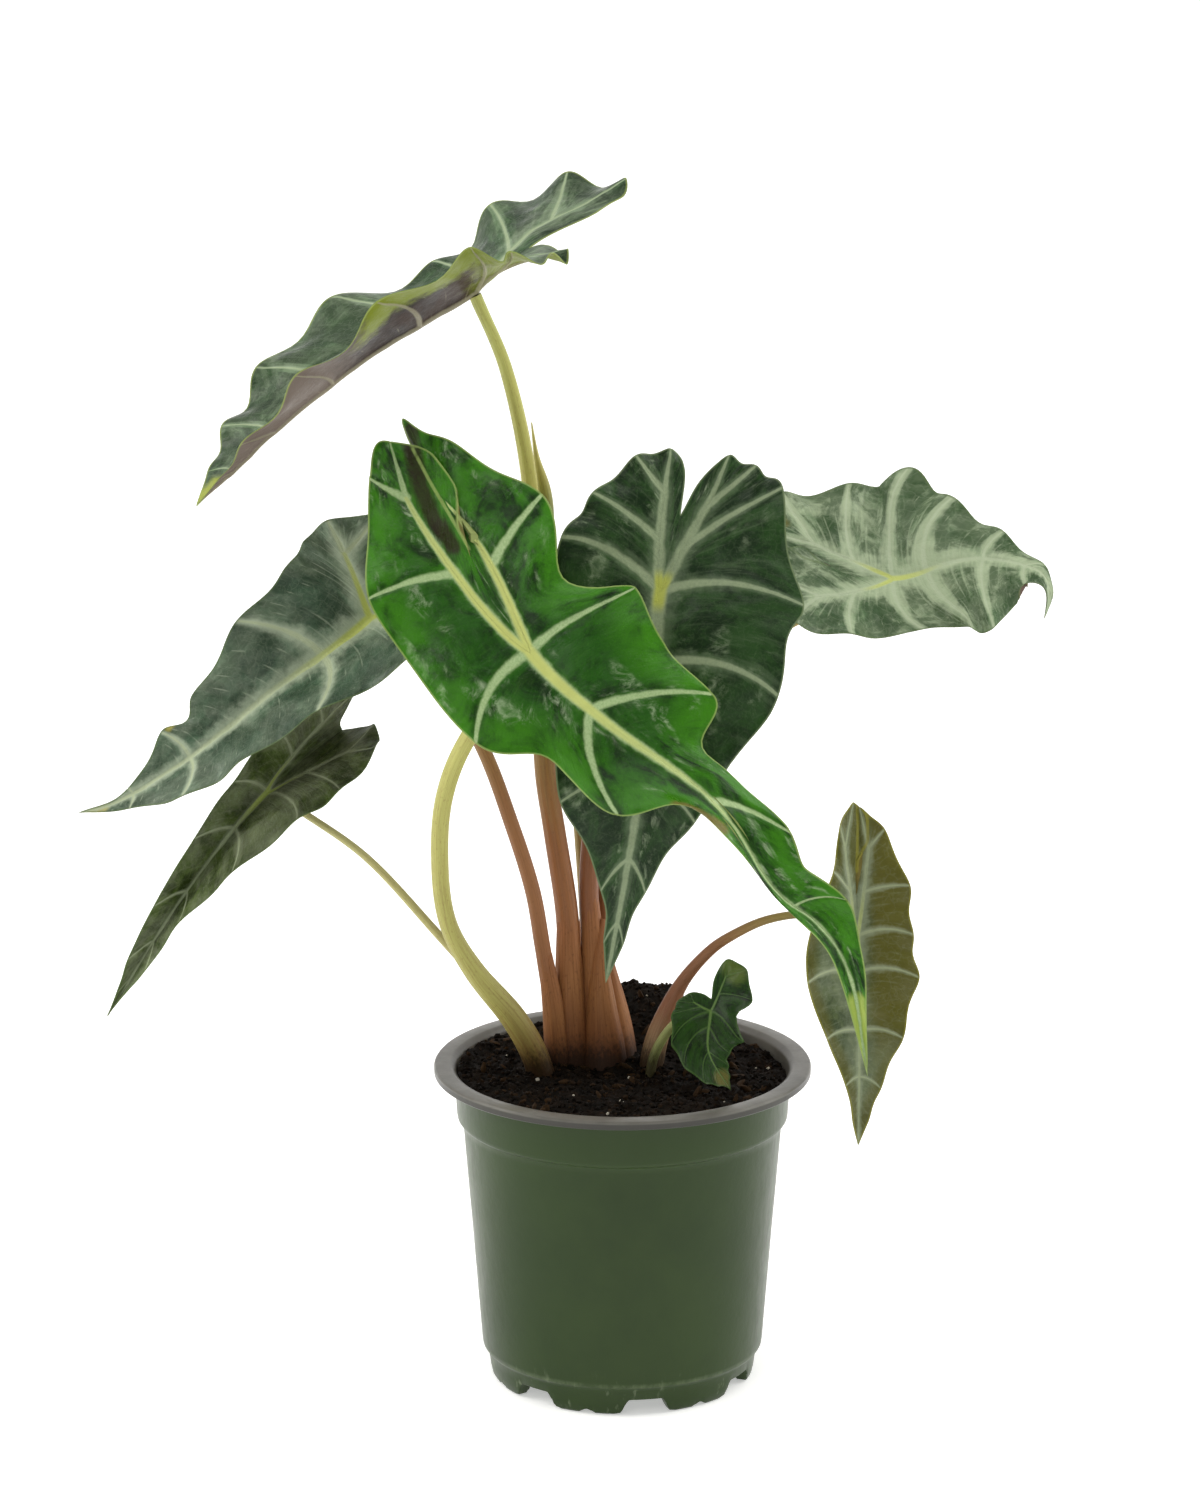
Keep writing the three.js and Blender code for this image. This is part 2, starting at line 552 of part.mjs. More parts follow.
// The same place on the bent blade. A lap lifts the inner edge of a rear lobe over or under the other's.
function bentPoint(leaf, side, s, t) {
  const [u, v] = flatPoint(leaf, side, s, t);
  const us = leaf.stations.map((station) => station.u);
  const inside = clamp(u, us[0] + 0.5, us[us.length - 1] - 0.5);
  const at = (x) => new THREE.Vector3(...along(us, leaf.stations.map((station) => station.at), x));
  const forward = at(inside + 0.5).sub(at(inside - 0.5)).normalize();
  const centre = at(inside).addScaledVector(forward, u - inside);
  const up = new THREE.Vector3(...along(us, leaf.stations.map((station) => station.up), u));
  up.addScaledVector(forward, -up.dot(forward)).normalize();
  const out = up.clone().cross(forward).multiplyScalar(SIDES[side]);
  const [foldLeft, foldRight] = along(us, leaf.stations.map((station) => station.fold), u);
  const fold = rad(side === 'left' ? foldLeft : foldRight);
  const ease = clamp((7.6 - s) / 2, 0, 1) * clamp(marginPoint(leaf, side, s)[1] / FULL_RIPPLE_WIDTH, 0, 1);
  const ripple = leaf.ripple * t * t * Math.cos(2 * Math.PI * s) * ease * clamp(s + 1, 0, 1);
  const puff = PUFF * Math.sin(Math.PI * t) * (1 - Math.cos(2 * Math.PI * s)) / 2 * ease;
  const lap = s < 0 ? (leaf.lap?.[side === 'left' ? 0 : 1] ?? 0) * t * t * (1 - Math.cos(Math.PI * s)) / 2 : 0;
  const face = up.clone().multiplyScalar(Math.cos(fold)).addScaledVector(out, -Math.sin(fold));
  return centre.addScaledVector(out, v * Math.cos(fold)).addScaledVector(up, v * Math.sin(fold))
    .addScaledVector(face, ripple + puff + lap);
}

// How much room the underside leaves for a rib: 1 on an open blade, 0 where it folds down shut
function openness(leaf, side, s) {
  const us = leaf.stations.map((station) => station.u);
  const folds = leaf.stations.map((station) => station.fold);
  const [foldLeft, foldRight] = along(us, folds, veinStart(leaf, side, s)[0]);
  return clamp(1 + (foldLeft + foldRight) / 60, 0, 1);
}

// A blade's upper face, then the same face set lower, and a strip round the edge between them
function bladeSolid(leaf, thickness) {
  const shell = new Shell();
  const [perVein, across] = leaf.grid;
  const ribs = new Map();
  for (const side of Object.keys(SIDES)) {
    const columns = [];
    for (let i = 0; i <= (TIP_VEIN - FIRST_VEIN) * perVein; i += 1) {
      const s = FIRST_VEIN + i / perVein;
      const column = [];
      for (let j = 0; j <= across; j += 1) column.push(shell.add(bentPoint(leaf, side, s, j / across)));
      ribs.set(column[0], clamp((TIP_VEIN - 0.4 - s) / 2, 0, 1) * openness(leaf, side, s));
      columns.push(column);
    }
    for (let i = 0; i < columns.length - 1; i += 1) {
      for (let j = 0; j < across; j += 1) {
        const corners = [columns[i][j], columns[i][j + 1], columns[i + 1][j + 1], columns[i + 1][j]];
        if (side === 'left') corners.reverse();
        shell.quad(...corners);
      }
    }
  }
  const upper = shell.faces.map((face) => [...face]);
  const normals = shell.points.map(() => new THREE.Vector3());
  for (const [a, b, c] of upper) {
    const ab = shell.points[b].clone().sub(shell.points[a]);
    const normal = ab.cross(shell.points[c].clone().sub(shell.points[a])).normalize();
    for (const corner of [a, b, c]) normals[corner].add(normal);
  }
  const count = shell.points.length;
  for (let i = 0; i < count; i += 1) {
    const depth = thickness + (ribs.get(i) ?? 0) * MIDRIB_DEPTH;
    shell.points.push(shell.points[i].clone().addScaledVector(normals[i].normalize(), -depth));
  }
  const edges = new Map();
  for (const [a, b, c] of upper) {
    shell.faces.push([a + count, c + count, b + count]);
    for (const [from, to] of [[a, b], [b, c], [c, a]]) edges.set(`${from},${to}`, [from, to]);
  }
  for (const [from, to] of edges.values()) {
    if (edges.has(`${to},${from}`)) continue;
    shell.faces.push([to, from, from + count], [to, from + count, to + count]);
  }
  return shell.solid();
}

// The new leaf is still rolled: a slim spindle whose section steps where its edge laps over
const ROLL = { points: [[-31, 16, 345.7], [-31, 16, 362], [-32, 15, 374], [-35, 15, 388], [-37, 15, 402]],
  radii: [2, 3.6, 3.4, 1.4, 0.3], steps: 10, lap: 0.25, sides: 10 };
const rollSection = Array.from({ length: ROLL.sides }, (_, i) => 1 - (ROLL.lap * i) / ROLL.sides);

// Assembly

const plant = new THREE.Group();
plant.name = 'potted_african_mask_alocasia';

const crown = crownSolid();
const crownGrown = crownSolid(GAP);
let mix = mixSolid().subtract(crownGrown);
const pot = drainSlots().reduce((body, slot) => body.subtract(slot), potSolid());

for (const [name, stalk] of Object.entries(STALKS)) {
  let solid = sweep(stalk.points, stalk.radii, stalk.steps);
  if (stalk.fromCrown) solid = solid.subtract(crownGrown);
  else mix = mix.subtract(sweep(stalk.points, stalk.radii, stalk.steps, GAP));
  const leaf = LEAVES[name];
  if (leaf) {
    const blade = bladeSolid(leaf, BLADE_THICKNESS);
    plant.add(meshOf(`${name}_blade`, blade, skin(leaf.colour, 0.4)));
    solid = solid.subtract(bladeSolid(leaf, BLADE_THICKNESS + GAP));
  }
  const brown = ['left', 'centre', 'right', 'lower_right'].includes(name);
  plant.add(meshOf(`${name}_petiole`, largest(solid), skin(brown ? COLOURS.brownStalk : COLOURS.greenStalk)));
}
const roll = sweep(ROLL.points, ROLL.radii, ROLL.steps, 0, rollSection);
plant.add(meshOf('rolled_blade', roll, skin(COLOURS.paleRoll)));
plant.add(meshOf('crown', crown, skin(COLOURS.crown, 0.7)));
plant.add(meshOf('soil', largest(mix), skin(COLOURS.soil, 0.95)));
plant.add(meshOf('pot', pot, skin(COLOURS.pot, 0.6)));
plant.position.copy(FOOTPRINT_CENTRE).negate();

export default plant;
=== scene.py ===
"""The looks of the potted African mask alocasia: blades, stalks, potting mix, pot, light and camera.

Lengths are in millimetres from the pot's axis at floor level, as in the part's source,
and place() turns them into the frame's metres.
"""
import itertools
import math

import bpy
import numpy as np
from mathutils import Matrix, Vector


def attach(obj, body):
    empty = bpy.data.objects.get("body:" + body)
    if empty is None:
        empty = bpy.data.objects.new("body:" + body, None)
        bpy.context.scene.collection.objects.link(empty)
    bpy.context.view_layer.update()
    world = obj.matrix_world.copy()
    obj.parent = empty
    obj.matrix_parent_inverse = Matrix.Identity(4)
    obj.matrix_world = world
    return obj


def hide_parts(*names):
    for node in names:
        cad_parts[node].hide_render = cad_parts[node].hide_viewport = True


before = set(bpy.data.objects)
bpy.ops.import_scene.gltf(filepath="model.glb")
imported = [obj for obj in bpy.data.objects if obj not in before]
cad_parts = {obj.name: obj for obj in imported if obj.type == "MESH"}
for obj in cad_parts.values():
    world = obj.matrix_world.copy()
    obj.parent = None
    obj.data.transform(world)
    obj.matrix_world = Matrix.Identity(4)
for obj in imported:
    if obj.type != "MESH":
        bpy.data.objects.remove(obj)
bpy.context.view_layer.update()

FOOTPRINT_CENTRE = np.array([-20.9, -8.4, 0.0])


def place(points):
    """Millimetres from the pot's axis, as metres in the frame."""
    return (np.asarray(points, float) - FOOTPRINT_CENTRE) / 1000


# Smooth curves and repeatable noise

def along(xs, ys, x):
    """A smooth curve through (xs, ys), read at x. Each y may be a number or a row."""
    xs = np.asarray(xs, float)
    ys = np.asarray(ys, float).reshape(len(xs), -1)
    before = np.maximum(np.arange(len(xs)) - 1, 0)
    after = np.minimum(np.arange(len(xs)) + 1, len(xs) - 1)
    slope = (ys[after] - ys[before]) / (xs[after] - xs[before])[:, None]
    x = np.clip(np.asarray(x, float), xs[0], xs[-1])
    k = np.clip(np.searchsorted(xs, x, side="right") - 1, 0, len(xs) - 2)
    span = (xs[k + 1] - xs[k])[..., None]
    t = (x - xs[k])[..., None] / span
    start = (2 * t ** 3 - 3 * t ** 2 + 1) * ys[k] + (t ** 3 - 2 * t ** 2 + t) * span * slope[k]
    end = (3 * t ** 2 - 2 * t ** 3) * ys[k + 1] + (t ** 3 - t ** 2) * span * slope[k + 1]
    value = start + end
    return value if ys.shape[1] > 1 else value[..., 0]


def draw(i, j, k):
    """A repeatable draw between 0 and 1 for each three numbers."""
    value = np.sin(i * 127.1 + j * 311.7 + k * 74.7) * 43758.5453
    return value - np.floor(value)


def noise(x, y, seed):
    """Smooth noise between -1 and 1, one lump to each unit of x and y."""
    i = np.floor(x)
    j = np.floor(y)
    fx = smoothstep(x - i, 0, 1)
    fy = smoothstep(y - j, 0, 1)
    low = draw(i, j, seed) * (1 - fx) + draw(i + 1, j, seed) * fx
    high = draw(i, j + 1, seed) * (1 - fx) + draw(i + 1, j + 1, seed) * fx
    return 2 * (low * (1 - fy) + high * fy) - 1


def smoothstep(x, low, high):
    """0 where x is low and 1 where it is high."""
    t = np.clip((x - low) / (high - low), 0, 1)
    return t * t * (3 - 2 * t)


def unit(vectors):
    length = np.linalg.norm(vectors, axis=-1, keepdims=True)
    return vectors / np.maximum(length, 1e-12)


# Objects and meshes

def add_object(name, data):
    made = bpy.data.objects.new(name, data)
    bpy.context.scene.collection.objects.link(made)
    return made


def add_piece(name, shape, material, replaces, sharp=60):
    """A smooth mesh that rides on the part, from points, faces and named values for each point."""
    points, faces, values = shape
    mesh = bpy.data.meshes.new(name)
    mesh.from_pydata(place(points).tolist(), [], faces)
    for key, data in values.items():
        data = np.asarray(data, np.float32)
        kind, field = ("FLOAT_VECTOR", "vector") if data.ndim == 2 else ("FLOAT", "value")
        mesh.attributes.new(key, kind, "POINT").data.foreach_set(field, data.ravel())
    mesh.shade_smooth()
    mesh.set_sharp_from_angle(angle=math.radians(sharp))
    mesh.validate()
    mesh.materials.append(material)
    piece = add_object(name, mesh)
    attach(piece, "root")
    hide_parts(*replaces)


def grid_faces(rows, columns, closed=False):
    """Quads between neighbouring rows of equal length. Closed rows join end to end."""
    faces = []
    for a in range(0, (rows - 1) * columns, columns):
        b = a + columns
        for j in range(columns if closed else columns - 1):
            k = (j + 1) % columns
            faces.append((a + j, a + k, b + k, b + j))
    return faces


def capped(rows, first, last):
    """Points and faces of closed rows, with a fan to a middle point at each end."""
    count, columns = len(rows), len(rows[0])
    points = np.concatenate([*rows, [first], [last]])
    faces = grid_faces(count, columns, closed=True)
    middle = count * columns
    end = middle - columns
    for j in range(columns):
        k = (j + 1) % columns
        faces.append((middle, k, j))
        faces.append((middle + 1, end + j, end + k))
    return points, faces


def joined(parts):
    """Several (points, faces, values) as one."""
    points, _, values = zip(*parts)
    faces = []
    start = 0
    for spots, own_faces, _ in parts:
        faces += [tuple(corner + start for corner in face) for face in own_faces]
        start += len(spots)
    values = {key: np.concatenate([own[key] for own in values]) for key in values[0]}
    return np.concatenate(points), faces, values


# Materials

def colour(code):
    """A display colour such as 0x3e4a2b as the linear colour that a shader takes."""
    channels = [(code >> shift & 255) / 255 for shift in (16, 8, 0)]
    return [c / 12.92 if c <= 0.04045 else ((c + 0.055) / 1.055) ** 2.4 for c in channels] + [1]


class Skin:
    """A new material, with short ways to add nodes. Values are sockets, numbers or display colours."""

    def __init__(self, name):
        self.material = bpy.data.materials.new(name)
        self.material.use_nodes = True
        self.nodes = self.material.node_tree.nodes

    def feed(self, made, inputs):
        """Sets or links a node's inputs."""
        for key, value in inputs.items():
            socket = made.inputs[key]
            if isinstance(value, bpy.types.NodeSocket):
                self.material.node_tree.links.new(value, socket)
            elif socket.type == "RGBA" and isinstance(value, int):
                socket.default_value = colour(value)
            else:
                socket.default_value = value

    def node(self, kind, output, inputs, **settings):
        """An output of a new node. Settings come first, because inputs depend on them."""
        made = self.nodes.new("ShaderNode" + kind)
        for key, value in settings.items():
            setattr(made, key, value)
        self.feed(made, inputs)
        return made.outputs[output]

    def finish(self, tint, roughness, others):
        """Feeds the shader and gives the material."""
        self.feed(self.nodes["Principled BSDF"], {"Base Color": tint, "Roughness": roughness, **others})
        return self.material

    def value(self, name, output="Fac"):
        return self.node("Attribute", output, {}, attribute_name=name)

    def place(self):
        return self.node("TexCoord", "Object", {})

    def axis(self, vector, letter):
        return self.node("SeparateXYZ", letter, {0: vector})

    def math(self, operation, a, b):
        return self.node("Math", 0, {0: a, 1: b}, operation=operation)

    def plus(self, a, b):
        return self.math("ADD", a, b)

    def times(self, a, b):
        return self.math("MULTIPLY", a, b)

    def stray(self, base, noise, reach):
        """The base value, moved by up to half of reach either way."""
        return self.plus(base, self.times(self.math("SUBTRACT", noise, 0.5), reach))

    def ramp(self, value, start, end, top=1, bottom=0):
        """A smooth step from bottom, where value is start, to top, where it is end."""
        if start > end:
            start, end, top, bottom = end, start, bottom, top
        inputs = {"Value": value, "From Min": start, "From Max": end, "To Min": bottom, "To Max": top}
        return self.node("MapRange", "Result", inputs, interpolation_type="SMOOTHSTEP")

    def mix(self, share, a, b):
        return self.node("Mix", "Result", {"Factor": share, "A": a, "B": b}, data_type="RGBA")

    def over(self, base, *layers):
        """The base colour with layers over it, each a share and a colour."""
        for share, tint in layers:
            base = self.mix(share, base, tint)
        return base

    def noise(self, vector, scale, detail=3, roughness=0.55, distortion=0, stretch=None):
        if stretch:
            vector = self.node("Mapping", "Vector", {"Vector": vector, "Scale": stretch})
        inputs = {"Vector": vector, "Scale": scale, "Detail": detail, "Roughness": roughness,
                  "Distortion": distortion}
        return self.node("TexNoise", "Fac", inputs)

    def bump(self, height, strength, distance):
        return self.node("Bump", "Normal", {"Height": height, "Strength": strength, "Distance": distance})


# Painted highlight: the pale colour of the glints and sheen painted on the blades
GLINT = 0xb7c8a4


def leaf_material(name, look):
    """A blade's skin: body colour, pale veins with a halo, fine net, rim and underside."""
    m = Skin(name)
    flat = m.value("flat", "Vector")
    strand = m.value("strand", "Vector")
    vein = m.value("vein")
    minor = m.value("minor")
    edge = m.value("edge")
    under = m.ramp(m.value("under"), 0.4, 0.6)
    dark, light = look["body"]
    halo = look["halo"]

    patches = m.noise(flat, 5, 5, 0.6, 0.6)
    bands = m.noise(strand, 1, 5, 0.65, 0.8, (9, 2.2, 1))
    streaks = m.noise(strand, 1, 4, 0.65, 0.3, (26, 1.6, 1))
    grain = m.noise(flat, 110, 3, 0.6)
    wander = m.noise(flat, 24, 3, 0.6)
    between = m.ramp(vein, 1.2, 6)
    tone_and_light = m.plus(m.times(patches, 0.35), m.times(bands, 0.65))
    # Painted light: lift brightens the puffed middles between the pressed-in veins, so the body stays darker
    # near them; the patches and bands are the blade's own tone
    tone_and_light = m.plus(tone_and_light, m.times(between, look.get("lift", 0)))
    # The pale streaks along the veins are partly a painted glossy reflection; the dark streaks are the
    # blade's own tone
    body = m.over(
        dark, (m.ramp(tone_and_light, 0.42, 0.6), light), (m.ramp(streaks, 0.5, 0.72, look["streaks"]), halo),
        (m.ramp(streaks, 0.5, 0.3, 0.35), dark), (m.ramp(grain, 0.55, 0.75, look["speckle"]), halo))
    # Haze: pale misty patches in the halo colour, partly the blades' grey tone and partly a painted sheen
    if "haze" in look:
        mist = m.noise(flat, 3.2, 4, 0.65, 1)
        body = m.mix(m.ramp(mist, 0.62, 0.38, look["haze"]), body, halo)
    if "clouds" in look:
        cloudy = m.times(m.noise(strand, 1, 5, 0.7, 0.8, (7, 2.6, 1)), between)
        body = m.mix(m.ramp(cloudy, 0.34, 0.56, look["clouds"]), body, dark)
    if "fresh" in look:
        young = m.times(m.ramp(tone_and_light, 0.4, 0.66), m.ramp(edge, 26, 3))
        body = m.mix(m.times(young, 0.75), body, look["fresh"])
    if "olive_half" in look:
        outer = m.ramp(m.stray(m.axis(flat, "Y"), bands, 0.08), 0.01, 0.09, 0.85)
        outer = m.times(outer, m.ramp(m.axis(flat, "X"), 0.62, 0.32, 1, 0.25))
        olive = m.math("MAXIMUM", outer, m.ramp(edge, 7, 2, 0.6))
        body = m.mix(olive, body, look["olive_half"])
    # Painted highlight: glint strokes and soft sheen patches, painted in place of reflections off the gloss
    if "glints" in look:
        strokes = m.noise(strand, 1, 6, 0.72, 0.5, (22, 3.6, 1))
        sheen = m.noise(strand, 1.3, 3, 0.5, 0, (4, 3, 1))
        shine = m.times(m.ramp(strokes, 0.46, 0.72), m.ramp(sheen, 0.52, 0.68))
        body = m.mix(m.times(shine, look["glints"]), body, GLINT)
    # Stains are the blades' own tints, except the front blade's first, dark brown one: a painted shadow
    # between its rear lobes, where one passes behind the other
    for k, tint in enumerate(look.get("stains", [])):
        spot = m.stray(m.value(f"stain_and_shadow_{k}"), streaks, 0.9)
        body = m.mix(m.ramp(spot, 1.3, 0.5, 0.85), body, tint)

    meander = {0: flat, "Scale": m.stray(1, m.noise(flat, 14, 2), 0.12)}
    cells = {"Vector": m.node("VectorMath", 0, meander, operation="SCALE"), "Scale": 17}
    net = m.node("TexVoronoi", "Distance", cells, feature="DISTANCE_TO_EDGE")
    net = m.ramp(net, 0.09, 0, look["net"])
    fine = m.ramp(minor, 2.6, 0.5, look["minor"])
    width = look["halo_width"]
    reach = m.stray(m.stray(vein, wander, width * 0.9), streaks, width * look.get("feather", 0.7))
    soft_vein = m.stray(vein, wander, 0.7)
    pale = m.mix(m.ramp(grain, 0.35, 0.7, 0.3), look["vein"], halo)
    yellow = m.ramp(m.value("from_stalk"), look["rib_fade"], 0.04)
    yellow = m.times(m.ramp(m.value("rib"), 1.05, 0.35), yellow)
    rim = (m.ramp(edge, 0.9, 0.3, look["rim_share"]), look["rim"])
    body = m.over(
        body, (net, halo), (fine, halo), (m.ramp(reach, width, 0.7, look["halo_share"]), halo),
        (m.ramp(soft_vein, 1.3, 0.5, look["vein_share"]), pale), (yellow, look["rib"]), rim)

    below = m.mix(m.ramp(patches, 0.35, 0.65), *look["below"])
    if "below_rear" in look:
        forward = m.stray(m.axis(flat, "X"), wander, 0.2)
        olive = m.times(m.ramp(forward, 0.62, 0.46), m.ramp(m.stray(edge, wander, 14), 21, 11))
        olive = m.math("MAXIMUM", olive, m.ramp(forward, 0.08, -0.12))
        tip = m.ramp(forward, 0.45, 0.75)
        below = m.over(below, (olive, look["below_rear"]), (tip, look["below_tip"]))
    ribs = m.ramp(soft_vein, 1.5, 0.6, 0.7)
    below = m.over(
        below, (ribs, look["below_vein"]), (m.ramp(minor, 1.8, 0.5, 0.25), look["below_vein"]), rim)

    rough = m.ramp(m.noise(flat, 9, 4, 0.6), 0.35, 0.7, look["rough"] + 0.16, look["rough"] - 0.08)
    height = m.plus(m.times(m.noise(flat, 21), 0.8), streaks)
    height = m.plus(m.plus(height, m.times(net, -1)), m.times(fine, -0.6))
    others = {"Specular IOR Level": look["specular"], "Coat Weight": look["coat"], "Coat Roughness": 0.2,
              "Normal": m.bump(height, look["bump"], 0.001)}
    return m.finish(m.mix(under, body, below), m.plus(rough, m.times(under, 0.2)), others)


BRIGHT = dict(
    slot="bright_blade", body=[0x0a2504, 0x1e4c0c], halo=0x4a7a2a, vein=0xa2b886, rib=0xb9c06e,
    rim=0x8a9f58, below=[0x5e5a2c, 0x716f3a], below_vein=0x98a866, fresh=0x3c7d10, streaks=0.14,
    speckle=0.08, net=0.04, minor=0.1, halo_width=1.9, halo_share=0.35, lift=0.07, vein_share=0.95,
    rib_fade=1.6, rim_share=0.75, rough=0.3, specular=0.15, coat=0.08, bump=0.6,
)
DARK = dict(
    slot="dark_blade", body=[0x0a1c08, 0x1a3312], halo=0x66785a, vein=0x93a17f, rib=0xa9b052, rim=0x52663a,
    below=[0x43302a, 0x57443a], below_vein=0x7c7c50, streaks=0.2, speckle=0.1, net=0.08, minor=0.12,
    halo_width=2.6, halo_share=0.55, vein_share=0.82, rib_fade=0.22, rim_share=0.6, rough=0.36,
    specular=0.16, coat=0.1, bump=0.5,
)
LOOKS = {}
# The front blade's first stain, dark brown, is a painted shadow between its rear lobes
LOOKS["front"] = dict(BRIGHT, glints=0.62, stains=[0x23150a, 0x6f6132, 0x96a848])
LOOKS["centre"] = dict(
    DARK, body=[0x10260c, 0x25431b], rim=0x7c8c66, streaks=0.22, halo_width=3, rib_fade=0.1, specular=0.12,
    glints=0.45,
)
LOOKS["top"] = dict(
    DARK, body=[0x14280f, 0x33512c], halo=0x8b9c7e, rim=0x8b9a4e, below=[0x180c06, 0x2e1e14],
    below_vein=0x8f8a72, below_rear=0x6c7818, below_tip=0x6b6058, stains=[0x98a03c], haze=0.4, clouds=0.7,
)
LOOKS["right"] = dict(
    DARK, body=[0x26401c, 0x506c46], halo=0xa2b090, vein=0xacb79c, rib=0xb3bd6c, streaks=0.45, net=0.1,
    minor=0.35, halo_width=6, halo_share=0.75, vein_share=0.4, rough=0.44, feather=2, haze=0.65,
    clouds=0.75, stains=[0x5c5a20], slot="grey_blade",
)
LOOKS["left"] = dict(
    DARK, body=[0x233724, 0x445c46], halo=0xa2ae96, vein=0xa4ae8c, rib=0xa6b05a, streaks=0.14, speckle=0.04,
    net=0.07, minor=0.3, halo_width=4.6, halo_share=0.8, rib_fade=0.5, haze=0.25, clouds=0.5,
    stains=[0xa29a3e, 0xb0a65a],
)
LOOKS["lower_left"] = dict(
    DARK, body=[0x26320f, 0x4c5d2a], halo=0x92997f, vein=0xa3b08e, rib=0x9fae62, below=[0x4a4030, 0x5c5c38],
    speckle=0.05, halo_share=0.5, vein_share=0.55, specular=0.08, coat=0, haze=0.4, clouds=0.25,
    slot="olive_blade",
)
LOOKS["lower_right"] = dict(
    DARK, body=[0x2c3a1c, 0x4a5634], halo=0x8a9478, vein=0xa0aa84, rib=0xa0aa70, rim=0x83802c,
    below=[0x4c471c, 0x635a28], halo_width=4.5, halo_share=0.6, vein_share=0.45, haze=0.25,
    olive_half=0x504c0b, slot="olive_blade",
)
LOOKS["small"] = dict(
    BRIGHT,
    body=[0x081a04, 0x152c06], vein=0x4f6a34, rib=0x5d7a3c, rim=0x3e5a26, fresh=0x1f4208, minor=0.04,
    halo_share=0.12, vein_share=0.5, rough=0.24, coat=0.22, stains=[0x55662a, 0x66602a],
)

# Blades: the part's own arrow shape on a fine grid, with veins pressed in and ribs below

FIRST_VEIN = -2
TIP_VEIN = 8
VEIN_ORIGINS = [0, 0.17, 0.45, 0.67, 0.84, 1]
MARGIN = [(-0.46, 0), (-0.8, 0.13), (-1, 0.36), (-0.78, 0.76), (-0.36, 0.98), (0, 1), (0.28, 0.85),
          (0.55, 0.5), (0.78, 0.2), (0.91, 0.06), (1, 0)]
LOBE_RIB_END = (0.66, 0.4)
SCALLOP = 0.07
VEIN_BOW = 0.11
PUFF = 0.8
FULL_RIPPLE_WIDTH = 20
LEFT = 1
RIGHT = -1
SIDES = (LEFT, RIGHT)

# Each side's ends name the first vein that they place on the margin. A station is a distance along
# the midrib, its place in the plant, the way that its face looks and the folds of the two halves.
LEAVES = {}
LEAVES["front"] = dict(
    length=230, rear=106, half=50, slit=46, ripple=3, rib_spread=0.5, grid=(26, 44), midrib=3.1,
    relief=0.9, lap={LEFT: -3, RIGHT: 5}, cover={RIGHT: 8},
    # The first stain is a painted shadow between the rear lobes; the others are the blade's own tints
    stains=[
        ([(-107, 4), (-99, 1), (-88, -2), (-80, -4), (-66, -6), (-50, -5)], 3.8),
        ([(95, -18), (104, -12), (113, -8)], 4), ([(206, 0), (230, 0)], 4),
    ],
    vein_shares={
        LEFT: {0: 0, 1: 0, 2: 0.72, 3: 0.75, 4: 0.75, 5: 0.55, 6: 0.2, 7: 0},
        RIGHT: {1: 0.65, 2: 0.7, 3: 0.8, 4: 0.75, 5: 0, 6: 0, 7: 0},
    },
    rib_bow={LEFT: 4, RIGHT: 3.5}, rib_tips={LEFT: 0.05, RIGHT: 0.35},
    rib_ends={LEFT: (-72, 0.5), RIGHT: (-80, 11)},
    notches={LEFT: {2: 0.42, 4: 0.42}, RIGHT: {0: -0.12, 3: 0.3}},
    ends={LEFT: (-1, [(-85, 0.5), (-113, 4), (-92, 16), (-49, 36), (13, 48), (79, 35), (128, 19),
              (170, 15), (204, 5)]),
          RIGHT: (-1, [(-80, 0.6), (-107, 5), (-95, 20), (-47, 45), (14, 41), (75, 29), (117, 9), (166, 6),
              (203, 4)])},
    stations=[
        (-110, (-90, -24, 407), (-0.1, -0.9, 0.35), (-3, 14)),
        (-50, (-63, -50, 368), (-0.1, -0.9, 0.35), (0, 10)),
        (0, (-37, -70, 328), (-0.1, -0.85, 0.5), (5, 5)), (45, (-9, -82, 304), (0, -0.8, 0.6), (5, -15)),
        (95, (28, -92, 279), (0, -0.8, 0.6), (-10, -66)),
        (113, (42, -95, 265), (0.2, -0.85, 0.4), (-25, -80)),
        (143, (59, -98, 238), (0.2, -0.95, 0.2), (0, -74)),
        (172, (79, -101, 222), (0.2, -0.95, 0.1), (-8, -50)),
        (198, (90, -103, 202), (0.3, -0.9, 0.1), (-10, -35)),
        (230, (97, -105, 163), (0.4, -0.9, 0.1), (0, 0)),
    ],
)
LEAVES["centre"] = dict(
    length=165, rear=58, half=57, slit=32, ripple=2, rib_spread=0.4, grid=(20, 36), midrib=3.4, relief=0.4,
    ends={LEFT: (-1, [(-48, 3.5), (-60, 12), (-58, 24), (-52, 37), (-5, 58), (37, 50), (90, 24), (124, 9),
              (148, 4)]),
          RIGHT: (-1, [(-50, 4), (-56, 12), (-48, 25), (-28, 37), (-10, 44), (45, 46), (90, 31), (126, 9),
              (148, 4)])},
    stations=[
        (-58, (31, 6, 391), (0, -0.93, 0.36), (10, 10)), (0, (15, -22, 341), (0, -0.95, 0.3), (5, 5)),
        (42, (12, -32, 298), (0, -1, 0.2), (0, 0)), (85, (6, -36, 257), (0, -1, 0.1), (0, 0)),
        (125, (0, -36, 219), (0, -1, 0), (0, 0)), (165, (-7, -30, 178), (0, -1, -0.1), (0, 0)),
    ],
)
